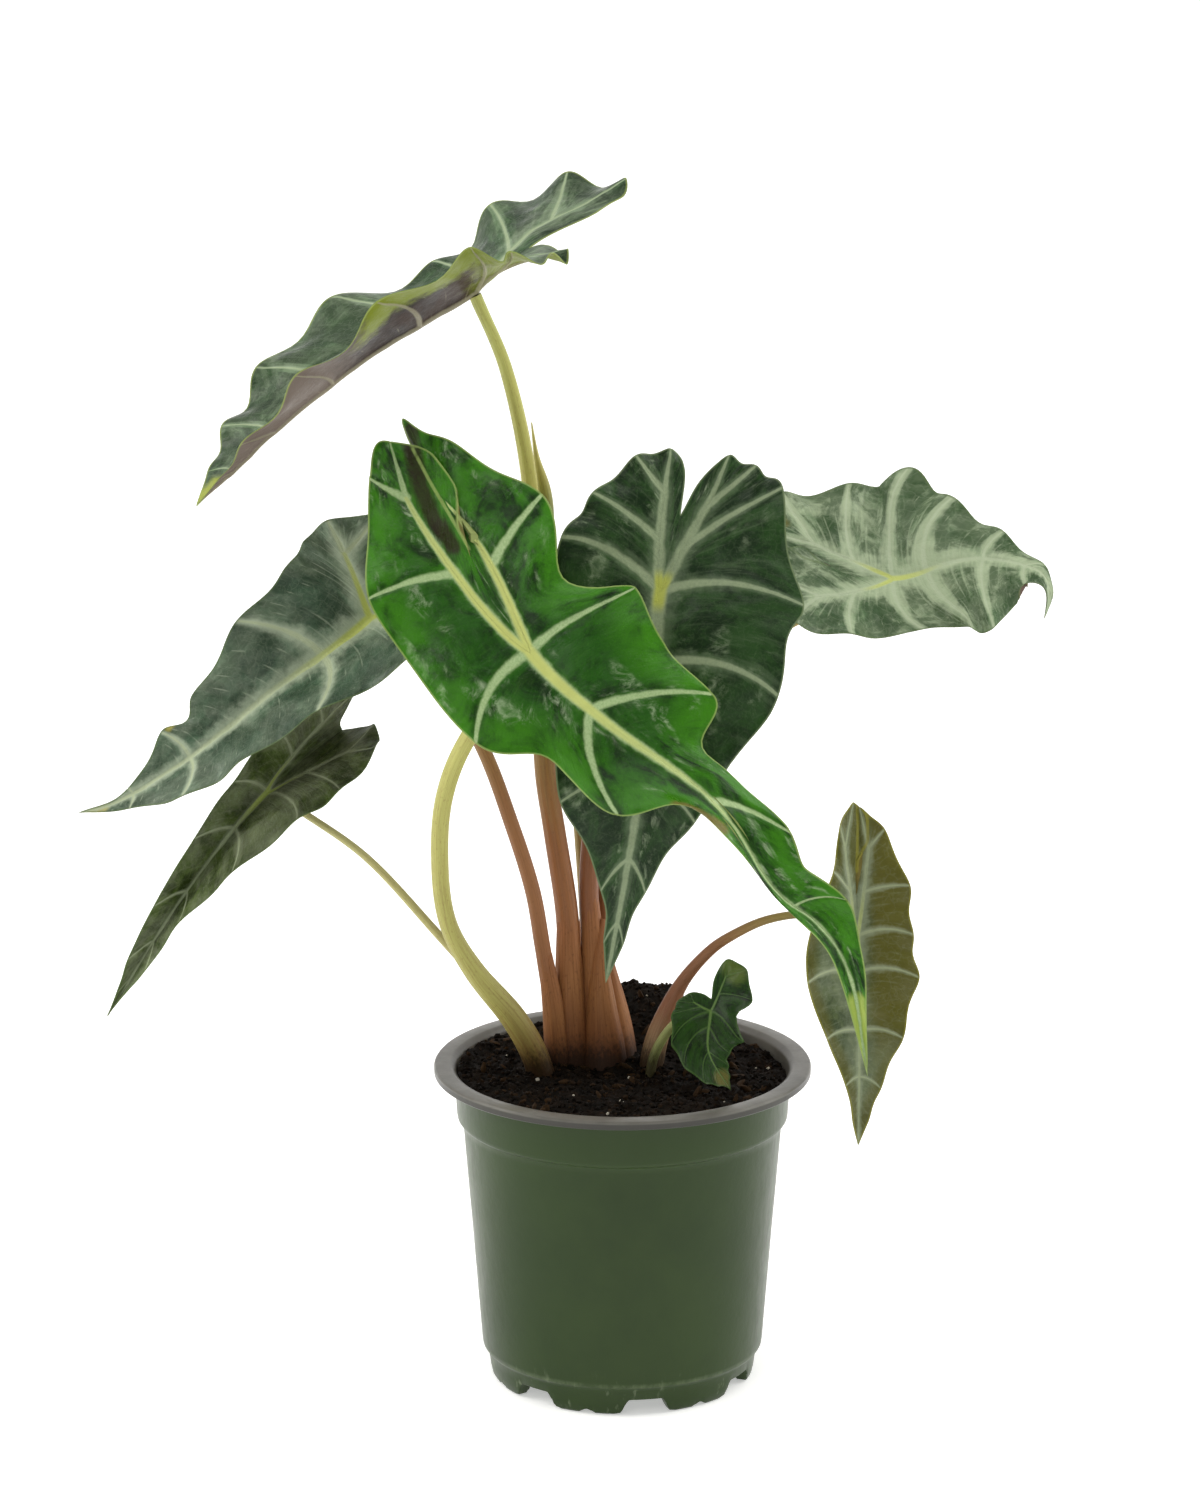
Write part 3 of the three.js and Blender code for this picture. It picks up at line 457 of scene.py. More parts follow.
LEAVES["top"] = dict(
    length=150, rear=68, half=50, slit=30, ripple=3, rib_spread=0.7, grid=(20, 36), midrib=2, relief=0.5,
    rib_ends={LEFT: (-22, 19)}, stains=[([(136, 0), (150, 0)], 5)],
    ends={LEFT: (-1, [(-35, 7), (-38, 29), (-30, 37), (-16, 44)]),
          RIGHT: (-1, [(-62, 7), (-80, 20), (-62, 42), (-32, 46), (0, 45), (42, 44), (84, 34), (114, 22),
              (134, 10)])},
    stations=[
        (-68, (-2, 24, 486), (-0.3, 0, 0.95), (-30, 20)), (-34, (-34, 14, 476), (-0.3, 0, 0.95), (-6, 15)),
        (0, (-60, 5, 458), (-0.3, 0, 0.95), (27, 9)), (50, (-103, -11, 434), (-0.3, 0, 0.95), (31, 25)),
        (100, (-139, -27, 408), (-0.5, 0, 0.8), (30, 28)),
        (150, (-170, -40, 380), (-0.6, 0, 0.7), (30, 30)),
    ],
)
LEAVES["right"] = dict(
    length=80, rear=52, half=43, slit=30, ripple=2, rib_spread=0.7, grid=(18, 34), midrib=1.9, relief=0.4,
    lap={LEFT: -2, RIGHT: 4}, cover={RIGHT: 6}, stains=[([(-48, 22), (-52, 30)], 4)],
    rib_ends={RIGHT: (-38, 21)},
    ends={LEFT: (-1, [(-44, 1), (-56, 14), (-46, 38), (-16, 46), (18, 51), (27, 32), (42, 15), (60, 5)]),
          RIGHT: (-1, [(-44, 1), (-60, 14), (-56, 44), (-28, 44), (6, 35), (34, 46), (51, 43), (61, 15),
              (72, 5)])},
    stations=[
        (-52, (64, 36, 341), (0.1, -0.4, 0.9), (5, 0)), (0, (112, 50, 329), (0.1, -0.45, 0.87), (15, 0)),
        (30, (143, 50, 337), (0, -0.45, 0.87), (10, 0)), (58, (170, 45, 334), (0.1, -0.47, 0.87), (0, 0)),
        (68, (176, 41, 327), (0.8, -0.3, 0.4), (0, 0)), (80, (174, 37, 314), (0.9, -0.3, -0.2), (0, 0)),
    ],
)
LEAVES["left"] = dict(
    length=142, rear=50, half=46, slit=30, ripple=2, rib_spread=0.9, grid=(20, 36), midrib=2.6,
    relief=0.45, stains=[([(89, -19), (95, -16)], 2.2), ([(132, 0), (142, 0)], 3)],
    vein_shares={LEFT: {0: 0, 1: 0.3, 2: 0.4, 5: 0}, RIGHT: {1: 0.7, 2: 0, 3: 0, 5: 0}},
    rib_ends={RIGHT: (-15, 25)}, notches={LEFT: {}, RIGHT: {0: 0.03, 1: 0.02, 2: 0.02, 3: 0.04, 5: 0.2}},
    ends={LEFT: (3, [(2, 44), (38, 36), (78, 29), (105, 21), (123, 7)]),
          RIGHT: (0, [(-41, 23), (-24, 39), (-4, 41), (14, 38), (43, 32), (77, 20), (99, 16), (120, 3)])},
    stations=[
        (-50, (-76, 24, 354), (-0.2, -0.9, 0.3), (38, 15)),
        (0, (-103, 10, 322), (-0.2, -0.9, 0.4), (40, 15)),
        (50, (-144, 0, 292), (-0.2, -0.85, 0.5), (38, 15)),
        (95, (-176, -9, 268), (-0.2, -0.8, 0.6), (30, 5)),
        (124, (-204, -15, 252), (-0.15, -0.75, 0.65), (18, 5)),
        (142, (-221, -20, 248), (-0.1, -0.7, 0.7), (5, 5)),
    ],
)
LEAVES["lower_left"] = dict(
    length=118, rear=52, half=36, slit=40, ripple=1.5, rib_spread=0.7, grid=(16, 28), midrib=1.3,
    relief=0.35, rib_ends={LEFT: (-34, 17)},
    ends={LEFT: (-1, [(-43, 4), (-50, 15), (-43, 31), (-20, 40), (0, 36), (33, 25), (66, 11), (92, 7)]),
          RIGHT: (2, [(-18, 24), (6, 18), (33, 14), (66, 10), (92, 6)])},
    stations=[
        (-52, (-106, 26, 278), (-0.3, -0.9, 0.3), (46, 60)),
        (0, (-146, 10, 248), (-0.3, -0.9, 0.2), (47, 55)),
        (55, (-180, 0, 207), (-0.3, -0.9, 0.1), (50, 50)),
        (118, (-212, -10, 158), (-0.3, -0.9, 0.1), (40, 40)),
    ],
)
LEAVES["lower_right"] = dict(
    length=88, rear=54, half=27, slit=26, ripple=1.5, rib_spread=0.5, grid=(16, 28), midrib=1.3,
    relief=0.35, lap={LEFT: -1, RIGHT: 2.5}, cover={RIGHT: 5}, vein_shares={LEFT: {7: 0}, RIGHT: {7: 0}},
    ends={LEFT: (-1, [(-44, 1), (-52, 2), (-43, 12), (-20, 22), (0, 23), (18, 25), (43, 18), (64, 9),
              (78, 4)]),
          RIGHT: (-1, [(-42, 0), (-54, 0.5), (-45, 8), (-26, 12), (-3, 24), (17, 26), (41, 17), (62, 7),
              (78, 3)])},
    stations=[
        (-54, (95, 2, 246), (0.2, -0.9, 0.2), (10, 25)), (0, (96, -15, 194), (0.2, -0.9, 0.2), (10, 20)),
        (45, (97, -22, 150), (0.2, -0.9, 0.1), (10, 20)), (88, (97, -25, 107), (0.2, -0.9, 0), (10, 20)),
    ],
)
LEAVES["small"] = dict(
    length=34, rear=22, half=17, slit=5, ripple=1, rib_spread=0.8, grid=(12, 18), midrib=0.7, relief=0.25,
    stains=[([(-22, 6), (-16, 10)], 5), ([(28, 0), (34, 0)], 4)], rib_ends={RIGHT: (-3, 7)},
    notches={LEFT: {2: 0.4}, RIGHT: {}},
    ends={LEFT: (-1, [(-14, 1), (-22, 6), (-18, 14), (-5, 17), (13, 15), (20, 8), (25, 5), (29, 3),
              (32, 1)]),
          RIGHT: (-1, [(-7, 4), (-7, 9), (-3, 14), (4, 16), (12, 15), (18, 12), (26, 8), (30, 4),
              (32, 1)])},
    stations=[
        (-22, (37, -14, 184), (0, -0.9, 0.4), (5, 5)), (0, (36, -22, 164), (0, -0.9, 0.4), (5, 5)),
        (15, (35, -32, 150), (0, -0.8, 0.6), (5, 5)), (34, (44, -40, 136), (0.1, -0.6, 0.8), (5, 5)),
    ],
)


def vein_start(leaf, side, s):
    """Where vein s starts on the ribs, as (u, v)."""
    reach = np.interp(s, [-2, 0, 1, 3], [0, 1, 1, 0])
    back, out = LOBE_RIB_END
    end = (-back * leaf["rear"], out * leaf["half"] * leaf["rib_spread"])
    end = leaf.get("rib_ends", {}).get(side, end)
    share = np.interp(s, range(3, 9), VEIN_ORIGINS) * leaf["length"]
    u = np.where(s > 3, share, end[0] * reach)
    bow = leaf.get("rib_bow", {}).get(side, 0) * 4 * reach * (1 - reach)
    v = np.where(s > 3, 0, end[1] * reach ** 0.85 + bow)
    return np.stack([u, v], -1)


def margin_point(leaf, side, s):
    """Where vein s meets the margin, drawn in between the veins as shallow scallops."""
    points = [(a * (leaf["rear"] if a < 0 else leaf["length"]), b * leaf["half"]) for a, b in MARGIN]
    points[0] = (-leaf["slit"], 0)
    vein, spots = leaf["ends"][side]
    points[vein - FIRST_VEIN:vein - FIRST_VEIN + len(spots)] = spots
    outline = along(np.arange(FIRST_VEIN, TIP_VEIN + 1), points, s)
    depths = np.full(TIP_VEIN - FIRST_VEIN, SCALLOP)
    depths[[0, 1, -1]] = 0
    for interval, depth in leaf.get("notches", {}).get(side, {}).items():
        depths[interval - FIRST_VEIN] = depth
    interval = np.clip(np.floor(s).astype(int) - FIRST_VEIN, 0, len(depths) - 1)
    depth = depths[interval] * (1 - np.cos(2 * np.pi * s)) / 2
    return outline + (vein_start(leaf, side, s) - outline) * depth[..., None]


def flat_point(leaf, side, s, t):
    """A flat place (u, v): t is 0 on the rib and 1 on the margin."""
    start = vein_start(leaf, side, s)
    end = margin_point(leaf, side, s)
    reach = np.linalg.norm(end - start, axis=-1)
    spot = start + (end - start) * t[..., None]
    cover = leaf.get("cover", {}).get(side, 0)
    spot[..., 1] -= cover * t * smoothstep(s, -1.8, -1.2) * smoothstep(s, 0, -0.7)
    bow = VEIN_BOW * np.clip((s - 1) / 2, 0, 1) * np.clip(TIP_VEIN - s, 0, 1) * reach
    spot[..., 0] -= bow * 4 * t * (1 - t)
    return spot


def bent_point(leaf, side, s, t):
    """The same place on the bent blade."""
    flat = flat_point(leaf, side, s, t)
    u = flat[..., 0]
    v = flat[..., 1]
    us, spine, ups, folds = zip(*leaf["stations"])
    inside = np.clip(u, us[0] + 0.5, us[-1] - 0.5)
    forward = unit(along(us, spine, inside + 0.5) - along(us, spine, inside - 0.5))
    centre = along(us, spine, inside) + forward * (u - inside)[..., None]
    up = along(us, ups, u)
    up = unit(up - (up * forward).sum(-1, keepdims=True) * forward)
    out = np.cross(up, forward) * side
    fold = np.radians(along(us, folds, u)[..., 0 if side == LEFT else 1])
    margin_v = margin_point(leaf, side, s)[..., 1]
    ease = np.clip((7.6 - s) / 2, 0, 1) * np.clip(margin_v / FULL_RIPPLE_WIDTH, 0, 1)
    ripple = leaf["ripple"] * t * t * np.cos(2 * np.pi * s) * ease * np.clip(s + 1, 0, 1)
    puff = PUFF * np.sin(np.pi * t) * (1 - np.cos(2 * np.pi * s)) / 2 * ease
    face = up * np.cos(fold)[..., None] - out * np.sin(fold)[..., None]
    spot = centre + out * (v * np.cos(fold))[..., None] + up * (v * np.sin(fold))[..., None]
    raised = leaf.get("lap", {}).get(side, 0)
    lap = np.where(s < 0, raised * t * t * (1 - np.cos(np.pi * s)) / 2, 0)
    return spot + face * (ripple + puff + lap)[..., None]


def crowded(count, pull):
    """Steps from 0 to 1 that lie closer together at both ends."""
    x = np.linspace(0, 1, count + 1)
    return x - pull * np.sin(2 * np.pi * x) / (2 * np.pi)


VEIN_SHARES = {0: 0.42, 1: 0.48, 2: 0.5, 3: 0.62, 4: 0.6, 5: 0.45, 6: 0.32, 7: 0.2}
VEIN_STEPS = 26
MINOR_HALF_WIDTH = 0.34
FAR = 60.0


def vein_lines(leaf):
    """The main veins as flat lines with half widths: the midrib and lobe ribs, and the others."""
    midrib = leaf["midrib"]
    u = np.linspace(0, leaf["length"], 40)
    spine = np.stack([u, np.zeros_like(u)], -1)
    ribs = [(spine, midrib * (1 - 0.82 * np.linspace(0, 1, 40) ** 0.8))]
    others = []
    t = np.linspace(0, 0.985, VEIN_STEPS)
    reach = np.linspace(3, 1, 16)
    for side in SIDES:
        tip = leaf.get("rib_tips", {}).get(side, 0.5)
        taper = np.interp(reach, [1, 2, 3], [tip, 0.65, 0.8])
        ribs.append((vein_start(leaf, side, reach) * (1, side), midrib * taper))
        shares = VEIN_SHARES | leaf.get("vein_shares", {}).get(side, {})
        for vein, share in shares.items():
            if share > 0:
                line = flat_point(leaf, side, np.full(VEIN_STEPS, float(vein)), t) * (1, side)
                others.append((line, midrib * share * (1 - 0.72 * t)))
    return ribs, others


def minor_lines(leaf):
    """Thin veins between the main ones."""
    lines = []
    t = np.linspace(0.02, 0.9, 16)
    for side in SIDES:
        for interval in range(8):
            for share in (0.2, 0.4, 0.6, 0.8):
                bend = 0.07 * np.sin(t * 5 + 9 * draw(interval, share, side)) * t
                line = flat_point(leaf, side, interval + share + bend, t) * (1, side)
                lines.append((line, MINOR_HALF_WIDTH * (1 - 0.6 * t)))
    return lines


def nearest(points, lines):
    """For each flat point, its distance to the nearest line as a share of the line's half width."""
    best = np.full(len(points), FAR)
    for line, width in lines:
        step = line[1:] - line[:-1]
        length = np.maximum((step ** 2).sum(-1), 1e-9)
        away = points[:, None] - line[None, :-1]
        t = np.clip((away * step).sum(-1) / length, 0, 1)
        gap = np.linalg.norm(away - t[..., None] * step, axis=-1)
        half = width[:-1] + (width[1:] - width[:-1]) * t
        best = np.minimum(best, (gap / np.maximum(half, 0.05)).min(1))
    return best


# Heights and sizes in mm, with the noise's seed. Widths across a vein are shares of its half width.
BLADE_LUMPS = [(0.45, 9, 3), (0.2, 4, 5)]
EDGE_LUMPS = (0.5, 14, 8)
GROOVE_WIDTH = 1.1
CREST_WIDTH = 0.45
UNDER_RIB_WIDTH = 0.8
EDGE_THICKNESS = 0.3
ADDED_THICKNESS = 0.35


def blade_shape(leaf):
    """The bent blade's middle face: points, quads, flat places, strands and the two margins."""
    per_vein, across = leaf["grid"]
    cell = crowded(per_vein, 0.6)[:-1]
    s_steps = np.concatenate([i + cell for i in range(FIRST_VEIN, TIP_VEIN)] + [[TIP_VEIN]])
    s, t = np.meshgrid(s_steps, crowded(across, 0.45), indexing="ij")
    points = np.concatenate([bent_point(leaf, side, s, t) for side in SIDES]).reshape(-1, 3)
    flat = np.concatenate([flat_point(leaf, side, s, t) * (1, side) for side in SIDES]).reshape(-1, 2)
    strand = [np.stack([s * 0.3, t, np.full_like(s, 0.5 * side)], -1) for side in SIDES]
    strand = np.concatenate(strand).reshape(-1, 3)
    quads = np.array(grid_faces(*s.shape))
    margin = np.arange(across, s.size, across + 1)
    _, first, merged = np.unique(np.round(points, 3), axis=0, return_index=True, return_inverse=True)
    merged = merged.ravel()
    faces = merged[np.concatenate([quads[:, ::-1], quads + s.size])]
    return points[first], faces, flat[first], strand[first], [merged[margin], merged[margin + s.size]]


def blade(name, leaf):
    """One blade: the upper face, the underside with raised ribs, and the edge between."""
    points, faces, flat, strand, margins = blade_shape(leaf)
    corners = points[faces]
    facing = unit(np.cross(corners[:, 2] - corners[:, 0], corners[:, 3] - corners[:, 1]))
    normals = np.zeros_like(points)
    for corner in range(4):
        np.add.at(normals, faces[:, corner], facing)
    normals = unit(normals)

    ribs, others = vein_lines(leaf)
    rib = nearest(flat, ribs)
    vein = np.minimum(rib, nearest(flat, others))
    edge = nearest(flat, [(flat[margin], np.ones(len(margin))) for margin in margins])
    calm = smoothstep(edge, 0, 3)
    relief = -leaf["relief"] * np.exp(-(vein / GROOVE_WIDTH) ** 2)
    relief += leaf["relief"] * 0.5 * np.exp(-(vein / CREST_WIDTH) ** 2)
    for height, size, seed in BLADE_LUMPS:
        relief += height * (leaf["half"] / 50) * noise(flat[:, 0] / size, flat[:, 1] / size, seed) * calm
    height, size, seed = EDGE_LUMPS
    relief += height * noise(flat[:, 0] / size, flat[:, 1] / size, seed) * (1 - calm)
    thickness = EDGE_THICKNESS + ADDED_THICKNESS * smoothstep(edge, 0, 5)
    ribbed = 0.5 * leaf["midrib"] * np.exp(-(vein / UNDER_RIB_WIDTH) ** 2) * smoothstep(edge, 0.5, 6)
    upper = points + normals * relief[:, None]
    lower = points + normals * (relief * 0.6 - thickness - ribbed)[:, None]

    count = len(points)
    shown = [list(dict.fromkeys(corners)) for corners in faces.tolist()]
    shown = [corners for corners in shown if len(corners) > 2]
    below = [[corner + count for corner in reversed(corners)] for corners in shown]
    rim = []
    for margin, side in zip(margins, SIDES):
        for a, b in zip(margin[:-1].tolist(), margin[1:].tolist()):
            if a != b:
                rim.append([a, b, b + count, a + count][::side])
    marks = {
        "vein": vein, "rib": rib, "minor": nearest(flat, minor_lines(leaf)), "edge": edge, "strand": strand,
        "from_stalk": np.linalg.norm(flat, axis=-1) / 100,
        "flat": np.column_stack([flat / 100, np.full(count, leaf["length"] / 37)]),
    }
    for k, (spots, width) in enumerate(leaf.get("stains", [])):
        marks[f"stain_and_shadow_{k}"] = nearest(flat, [(np.array(spots, float), np.full(len(spots), width))])
    values = {key: np.concatenate([data, data]) for key, data in marks.items()}
    values["under"] = np.repeat([0, 1], count)
    shape = (np.concatenate([upper, lower]), shown + below + rim, values)
    skin = leaf_material(f"{name}_leaf", LOOKS[name])
    add_piece(f"{name}_leaf", shape, skin, [f"{name}_blade"])


for leaf_name, leaf_data in LEAVES.items():
    blade(leaf_name, leaf_data)


# Stalks: the route's points, the radii that share its length evenly, and tints by share of the length

STALKS = {}
STALKS["front"] = (
    [(-31, -3, 118), (-36, -6, 139), (-45, -12, 158), (-61, -20, 181), (-71, -28, 203), (-74, -36, 229),
     (-72, -44, 260), (-62, -54, 288), (-37, -68, 326)], [5.8, 5.2, 3.7, 3.5, 3.4, 3.2],
    [(0, 0x6a3c22), (0.12, 0x86703c), (0.25, 0xa39f56), (1, 0xb2b264)],
)
STALKS["left"] = (
    [(-27, 4, 150), (-30, 2, 165), (-33, 2, 184), (-37, 2, 208), (-45, 2, 235), (-58, 4, 270),
     (-75, 8, 296), (-91, 10, 312), (-103, 11, 321)], [3.4, 3.2, 3, 2.8, 2.6],
    [(0, 0x8e5a34), (0.5, 0x8f6238), (1, 0x9a8a4c)],
)
STALKS["top"] = (
    [(-22, 8, 150), (-22, 8, 167), (-23, 10, 196), (-28, 10, 231), (-32, 10, 260), (-34, 10, 321),
     (-38, 8, 380), (-47, 7, 425), (-60, 5.5, 457.5)], [4.8, 4.6, 4.2, 3.6, 3, 2.3],
    [(0, 0x8e5a34), (0.25, 0x8a582c), (0.5, 0x94803e), (0.68, 0xaaa650), (1, 0xb0b464)],
)
STALKS["centre"] = (
    [(-10, 11, 150), (-12, 12, 175), (-14, 14, 209), (-11, 14, 243), (-1, 6, 279), (8, -4, 308),
     (16, -20, 339)], [4.4, 4, 3.4, 2.8, 2.5], [(0, 0x8a5632), (0.5, 0x7c4c2c), (1, 0xa0a050)],
)
STALKS["right"] = (
    [(-3, 17, 150), (-8, 21, 181), (-4, 29, 218), (22, 41, 268), (58, 50, 302), (86, 53, 317),
     (111, 51, 328)], [3.8, 3.4, 3, 2.4, 2], [(0, 0x8a5632), (0.6, 0x8a5a34), (1, 0xaaac62)],
)
STALKS["lower_left"] = (
    [(-35, 12, 120), (-38, 10, 139), (-54, 7, 162), (-75, 3, 188), (-104, 3, 221), (-128, 7, 238),
     (-146, 12, 247)], [2.2, 2, 1.8, 1.6, 1.5], [(0, 0x8a7048), (0.3, 0xb0a868), (1, 0xbdbb82)],
)
STALKS["lower_right"] = (
    [(11, 5, 119), (13, 3, 139), (18, 2, 155), (25, 0, 170), (36, -3, 184), (46, -6, 192),
     (59, -9, 199), (74, -11, 202), (87, -12, 200), (95, -14, 195)], [5.2, 4.6, 2.7, 2, 1.6, 1.5],
    [(0, 0x8a6a48), (0.14, 0xb09672), (0.3, 0x96654a), (0.55, 0x8c6240), (0.75, 0x8f7e44), (1, 0x9a9650)],
)
STALKS["small"] = (
    [(11, -8, 121), (12, -7, 136), (16, -9, 147), (22, -12, 156), (29, -16, 163), (35, -21, 165)],
    [2, 2, 1.8, 1.5], [(0, 0x97a060), (1, 0xa2ac6c)],
)
STALKS["rolled"] = (
    [(-14, 21, 150), (-16, 22, 200), (-20, 22, 250), (-26, 19, 300), (-31, 16, 345)], [2.6, 2.2, 1.8, 1.6],
    [(0, 0x8a5a3c), (0.6, 0xa09a58), (1, 0xb0b46a)],
)
STALK_SIDES = 28
STALK_STEPS = 90
STALK_END_GAP = 1.6
DARKER_FOOT = 0x24160b


def run_along(points, power=1):
    """The sum of the steps up to each point, each step to the power given."""
    return np.append(0, np.cumsum(np.linalg.norm(np.diff(points, axis=0), axis=-1) ** power))


def curve_points(points, steps):
    """Evenly spaced points on a smooth curve through the given ones, and its length."""
    chords = run_along(points, 0.75)
    fine = along(chords, points, np.linspace(0, chords[-1], 600))
    run = run_along(fine)
    even = np.linspace(0, run[-1], steps + 1)
    return np.stack([np.interp(even, run, fine[:, axis]) for axis in range(3)], -1), run[-1]


def cross_frames(centres):
    """At each centre, two directions across the curve that don't twist along it."""
    forward = unit(np.gradient(centres, axis=0))
    side = unit(np.cross(forward[0], (0.3, 1, 0.1)))
    firsts = []
    for direction in forward:
        side = unit(side - side.dot(direction) * direction)
        firsts.append(side)
    return np.array(firsts), np.cross(forward, firsts)


def tube(route, radii, steps, shape, sides=STALK_SIDES):
    """A capped sweep. shape(share, angle) scales the radius. Gives points, faces and values."""
    centres, length = curve_points(route, steps)
    first, second = cross_frames(centres)
    share = np.linspace(0, 1, steps + 1)
    radius = along(np.linspace(0, 1, len(radii)), radii, share)
    angle = np.linspace(0, 2 * np.pi, sides, endpoint=False)
    share, angle = np.meshgrid(share, angle, indexing="ij")
    reach = radius[:, None] * shape(share, angle)
    rows = (centres[:, None] + first[:, None] * (reach * np.cos(angle))[..., None]
            + second[:, None] * (reach * np.sin(angle))[..., None])
    points, faces = capped(rows, centres[0], centres[-1])
    run = np.append(share, [0, 1])
    turn = np.append(angle, [0, 0])
    streak = np.column_stack([np.cos(turn), np.sin(turn), run * length / 100])
    return points, faces, {"run": run, "level": points[:, 2], "streak": streak}


def stalk_material(name, tints, fleck=0x6a4428, fleck_share=0.35, rough=0.42):
    """A stalk's skin: tints from foot to tip, lines and flecks along it, and a darker foot."""
    m = Skin(name)
    streak = m.value("streak", "Vector")
    ramp = m.nodes.new("ShaderNodeValToRGB")
    m.feed(ramp, {"Fac": m.stray(m.value("run"), m.noise(streak, 3), 0.16)})
    while len(ramp.color_ramp.elements) < len(tints):
        ramp.color_ramp.elements.new(0.5)
    for element, (spot, tint) in zip(ramp.color_ramp.elements, tints):
        element.position = spot
        element.color = colour(tint)
    lines = m.noise(streak, 2.2, 4, 0.6, 0, (5, 5, 2.2))
    flecks = m.noise(streak, 3, 3, 0.65, 0, (2, 2, 16))
    darker_foot = m.ramp(m.stray(m.value("level"), flecks, 16), 148, 135, 0.9)
    body = m.over(ramp.outputs["Color"], (m.ramp(lines, 0.42, 0.7, 0.35), fleck),
                  (m.ramp(flecks, 0.56, 0.7, fleck_share), fleck), (darker_foot, DARKER_FOOT))
    others = {"Specular IOR Level": 0.3, "Normal": m.bump(lines, 0.3, 0.0005)}
    return m.finish(body, m.ramp(lines, 0.3, 0.7, rough + 0.12, rough - 0.05), others)


def stalk_shape(share, angle):
    """Slight ribs along a stalk and a flare where it meets its blade."""
    flare = 1 + 0.12 * smoothstep(share, 0.95, 1)
    return flare * (1 + 0.018 * np.cos(9 * angle) + 0.02 * np.sin(4 * angle + 2 * share))


for stalk_name, (route, radii, tints) in STALKS.items():
    route = np.array(route, float)
    route[-1] -= STALK_END_GAP * unit(route[-1] - route[-2])
    stalk_skin = stalk_material(f"{stalk_name}_stalk", tints)
    add_piece(f"{stalk_name}_stalk", tube(route, radii, STALK_STEPS, stalk_shape), stalk_skin,
              [f"{stalk_name}_petiole"])


# Crown: sheathing bases grown round each other

CROWN_SHEATHS = [
    ([(-24, 7, 116), (-27, 4, 140), (-29, 2, 160), (-32, 2, 181)], [5, 5.4, 4.4, 2.9]),
    ([(-18, 9, 116), (-21, 8, 140), (-22, 8, 167), (-23, 10, 199)], [7, 7.4, 5.8, 4.0]),
    ([(-9, 9, 116), (-10, 10, 140), (-12, 12, 175), (-14, 14, 208)], [7.6, 7.2, 5.2, 3.2]),
    ([(0, 13, 116), (-2, 14, 140), (-7.6, 20, 175)], [7.6, 6.8, 3.2]),
    ([(-12, 16, 116), (-14, 20, 140), (-15, 22, 190)], [5.5, 5.4, 3]),
    ([(-7, 9, 116), (-8, 8.5, 140), (-9, 8, 160), (-9.5, 9, 178), (-8, 12, 193)], [11.5, 9.6, 6.6, 3.8, 0.9]),
]
CROWN_TINTS = [(0, 0x402410), (0.3, 0x7a4a28), (0.6, 0x966438), (1, 0x8e5a34)]


def crown_shape(share, angle):
    return 1 + 0.03 * np.cos(7 * angle + share) + 0.02 * np.sin(12 * angle)


sheaths = joined([tube(*sheath, 50, crown_shape) for sheath in CROWN_SHEATHS])
crown_skin = stalk_material("crown_sheaths", CROWN_TINTS, fleck=0x4c2a18, fleck_share=0.4, rough=0.6)
add_piece("crown_sheaths", sheaths, crown_skin, ["crown"])


# New leaf, still rolled

ROLL_ROUTE = [(-31, 16, 345.7), (-31, 16, 362), (-32, 15, 374), (-35, 15, 388), (-37, 15, 402)]
ROLL_RADII = [2, 3.6, 3.4, 1.4, 0.3]
ROLL_TINTS = [(0, 0x44602a), (0.35, 0x6f7a38), (0.6, 0xa09a4c), (1, 0xc9c27c)]


def roll_shape(share, angle):
    """The roll's edge laps over, so its section steps once round."""
    turn = (angle / (2 * np.pi) + 0.35 * share) % 1
    return 1 - 0.25 * turn + 0.25 * smoothstep(turn, 0.93, 1)


roll = tube(ROLL_ROUTE, ROLL_RADII, 80, roll_shape, sides=40)
roll_skin = stalk_material("rolled_leaf", ROLL_TINTS, fleck=0x5a4a20, fleck_share=0.3)
add_piece("rolled_leaf", roll, roll_skin, ["rolled_blade"], sharp=50)


# Potting mix

MIX_BOTTOM = 8.5
MIX_SIDE = [(47, MIX_BOTTOM), (53.6, 9.2), (54.8, 13.6), (56.7, 14.8), (64.6, 112.4), (66.9, 114)]
MIX_TOP_RADIUS = 68.2
MIX_LEVEL = 132
MOUND = {"x": 10, "y": 56, "radius": 30, "height": 20, "settles": (58, 68)}
LOWER_PAST = 20
LOWER_SLOPE = 0.07
MIX_RINGS = 110
MIX_SPOKES = 300
BITS_RADIUS = 66.5


def mix_height(x, y):
    """The level of the mix: a mound, a lower side and lumps of four sizes."""
    away = np.hypot(x - MOUND["x"], y - MOUND["y"]) / MOUND["radius"]
    settled = 1 - 0.7 * smoothstep(np.hypot(x, y), *MOUND["settles"])
    level = MIX_LEVEL + MOUND["height"] * np.exp(-away * away) * settled
    level -= np.maximum(x - LOWER_PAST, 0) * LOWER_SLOPE
    for height, size, seed in ((1.5, 11, 1), (1.1, 4.6, 2), (0.7, 2.1, 4), (0.35, 1.1, 6)):
        level += height * noise(x / size, y / size, seed)
    return level


